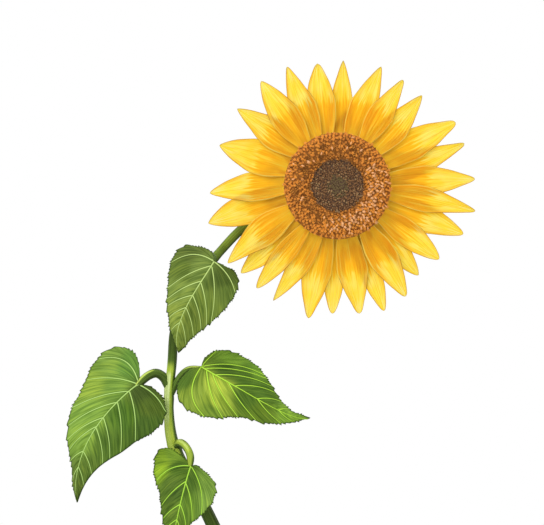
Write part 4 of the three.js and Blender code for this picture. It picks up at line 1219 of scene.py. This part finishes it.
def floret_places():
    """Every floret on the spiral: radius, angle, place, lean, turn and a random tone."""
    profile = spline(DISC_PROFILE[:DISC_TOP_POINTS], 12)
    square = FLORET_SPACING[0] ** 2 / 2
    rows = []
    while square < FLORET_FIELD ** 2:
        radius = math.sqrt(square)
        angle = len(rows) * GOLDEN_ANGLE
        square += np.interp(radius, FLORET_WIDENS, FLORET_SPACING) ** 2
        top, further = np.interp((radius, radius + 0.5), profile[:, 0], profile[:, 1])
        jitter = rng.normal(0, FLORET_JITTER, 2)
        rows.append((radius, angle, radius * math.cos(angle) + jitter[0],
                     radius * math.sin(angle) + jitter[1], top - FLORET_SINK,
                     math.atan((top - further) * 2) * FLORET_LEAN, rng.uniform(0, 6.28), rng.uniform()))
    return rows


def ring_tone(radius, angle):
    """How pale an open floret is: a painted highlight makes it palest low on the right; its own
    tone varies in clumps, grows outwards and is darkest by the heart.
    """
    lit = smoothstep(-0.2, 0.8, math.cos(angle - LIT_SIDE))
    outer = smoothstep(*TONE_OUTER_FROM, radius)
    place = Vector((radius * math.cos(angle), radius * math.sin(angle), 0))
    clump = noise.noise(place * CLUMP_SCALE)
    tone = TONE_BASE + TONE_LIT * lit + TONE_OUTER * outer + TONE_CLUMPS * clump
    tone += rng.normal(0, TONE_SPREAD)
    return tone + (RIM_TONE - tone) * RIM_EVENNESS * smoothstep(*RIM_FROM, radius)


def look_of(tone, tones):
    return next(look for limit, look in tones if tone < limit)


def make_florets():
    templates = {"open": open_floret(), "young": closed_floret(YOUNG_SIDES, YOUNG_FLORET),
                 "bud": closed_floret(BUD_SIDES, BUD), "dash": floret_dash()}
    groups = {look: [] for look in FLORET_LOOKS}
    for radius, angle, x, y, z, lean, turn, tone in floret_places():
        stand = (x, y, z, lean, turn)
        if radius < OLIVE_RADIUS - OLIVE_FRINGE * tone:
            groups["bud_olive"].append((*stand, OLIVE_SIZE, OLIVE_TALLNESS))
        elif radius < HEART_RADIUS + HEART_FRINGE * (tone - 0.5):
            groups[look_of(tone, BUD_TONES)].append((*stand, between(BUD_SIZE, tone), 1.0))
        elif radius < YOUNG_RADIUS + YOUNG_FRINGE * (tone - 0.5):
            groups[look_of(tone, YOUNG_TONES)].append((*stand, between(YOUNG_SIZE, tone), 1.0))
        else:
            look = look_of(ring_tone(radius, angle), OPEN_TONES)
            groups[look].append((*stand, between(OPEN_SIZE, tone), between(OPEN_TALLNESS, tone)))
            if tone > DASH_FROM:
                look = look_of(ring_tone(radius, angle), DASH_TONES)
                groups[look].append((x, y, z + DASH_LIFT, lean, rng.normal(0, 0.5),
                                     between(DASH_SIZE, tone), 1.0))
    for k in range(RIM_TICKS):
        angle = (k + rng.uniform(-0.4, 0.4)) * 2 * math.pi / RIM_TICKS
        radius = DRUM_RADIUS + rng.uniform(*RIM_TICK_DEPTH)
        groups["dash_umber"].append((radius * math.cos(angle), radius * math.sin(angle),
                                     rng.uniform(*RIM_TICK_HEIGHT), RIM_TICK_LEAN,
                                     rng.normal(0, 0.25), RIM_TICK_SIZE, 1.0))
    for look, (shape, colour) in FLORET_LOOKS.items():
        scatter("florets_" + look, templates[shape], groups[look],
                plain_material("floret_" + look, colour, 0.75),
                ("disc_heart",) if look == "bud_dark" else ())


def make_calyx():
    """The cup behind the disc, furrowed below the bracts, and the rows of bracts."""
    material = bract_material()
    rings = turned_points(CALYX_PROFILE, CALYX_SIDES, 60)
    angles = circle(CALYX_SIDES)
    furrows = np.cos(2 * BRACTS_PER_ROW * angles)
    furrows = furrows * smoothstep(*FURROWS_FROM, np.hypot(rings[..., 0], rings[..., 1]))
    rings[..., 2] += FURROW_HEIGHT * furrows
    uv = grid_places(np.linspace(0.35, 0.0, len(rings)), np.abs(angles / math.pi - 1) * 6)
    # The furrows' grooves get painted shade.
    make_piece("calyx_cup", to_plant(rings), tube_faces(len(rings), CALYX_SIDES, flip=True),
               material, ("calyx",), uv,
               {"rib": smoothstep(0.8, 1.0, -furrows), "gap": smoothstep(0.5, 1.0, furrows)})
    for row, (width, turn, path) in enumerate(BRACT_ROWS):
        for index in range(BRACTS_PER_ROW):
            name = "bract_%d_%02d" % (row + 1, index + 1)
            make_bract(name, 360 * (index + turn) / BRACTS_PER_ROW, width, path, material)


def make_bract(name, angle, width, path, material):
    """A green bract that springs from the cup along a path of (radius, height) to a long tip."""
    shares = np.linspace(0, 1, 33)
    across = np.linspace(-1, 1, 13)
    path = resample(spline(path, 8), shares)
    radius = path[:, 0]
    ripple, radians = BRACT_RIPPLE
    line = ray_line(radius[0], radius[-1] + rng.uniform(*BRACT_REACH),
                    angle, angle + rng.uniform(*BRACT_TURN),
                    (radius - radius[0]) / (radius[-1] - radius[0]))
    narrowing = np.clip((shares - BRACT_FULL_TO) / (1 - BRACT_FULL_TO), 0, 1)
    flat = ray_grid(line, width * (0.02 + 0.98 * np.cos(math.pi / 2 * narrowing) ** 1.2), across)
    s, a = shares[:, None], across[None]
    relief = ripple * np.cos(radians * a) - BRACT_HOLLOW * (1 - a ** 2)
    height = path[:, 1:] + relief * (1 - s) - rng.uniform(*BRACT_DROOP) * s ** 3
    front = to_plant(np.dstack([flat, height]))
    rib = (1 - smoothstep(0.03, 0.13, np.abs(a))) * (1 - s)
    # Painted shade along the edges, fading towards the tip.
    edge = smoothstep(0.78, 0.98, np.abs(a)) * (1 - smoothstep(0.7, 0.95, s))
    make_piece(name, sheet_points(front, FRONT, BRACT_THICKNESS),
               sheet_faces(len(shares), len(across)), material, (),
               twice(grid_places(shares, across / 2 + 0.5)), {"rib": twice(rib), "gap": twice(edge)})


# ------------------------------------------------------------------ the plant

add_camera()
add_surroundings()
make_stem()
for index, leaf in enumerate(LEAVES):
    make_leaf(index + 1, leaf, 3.1 * index + 1)
for index, petal in enumerate(PETALS):
    make_petal(petal, index)
make_disc_core()
make_florets()
make_calyx()
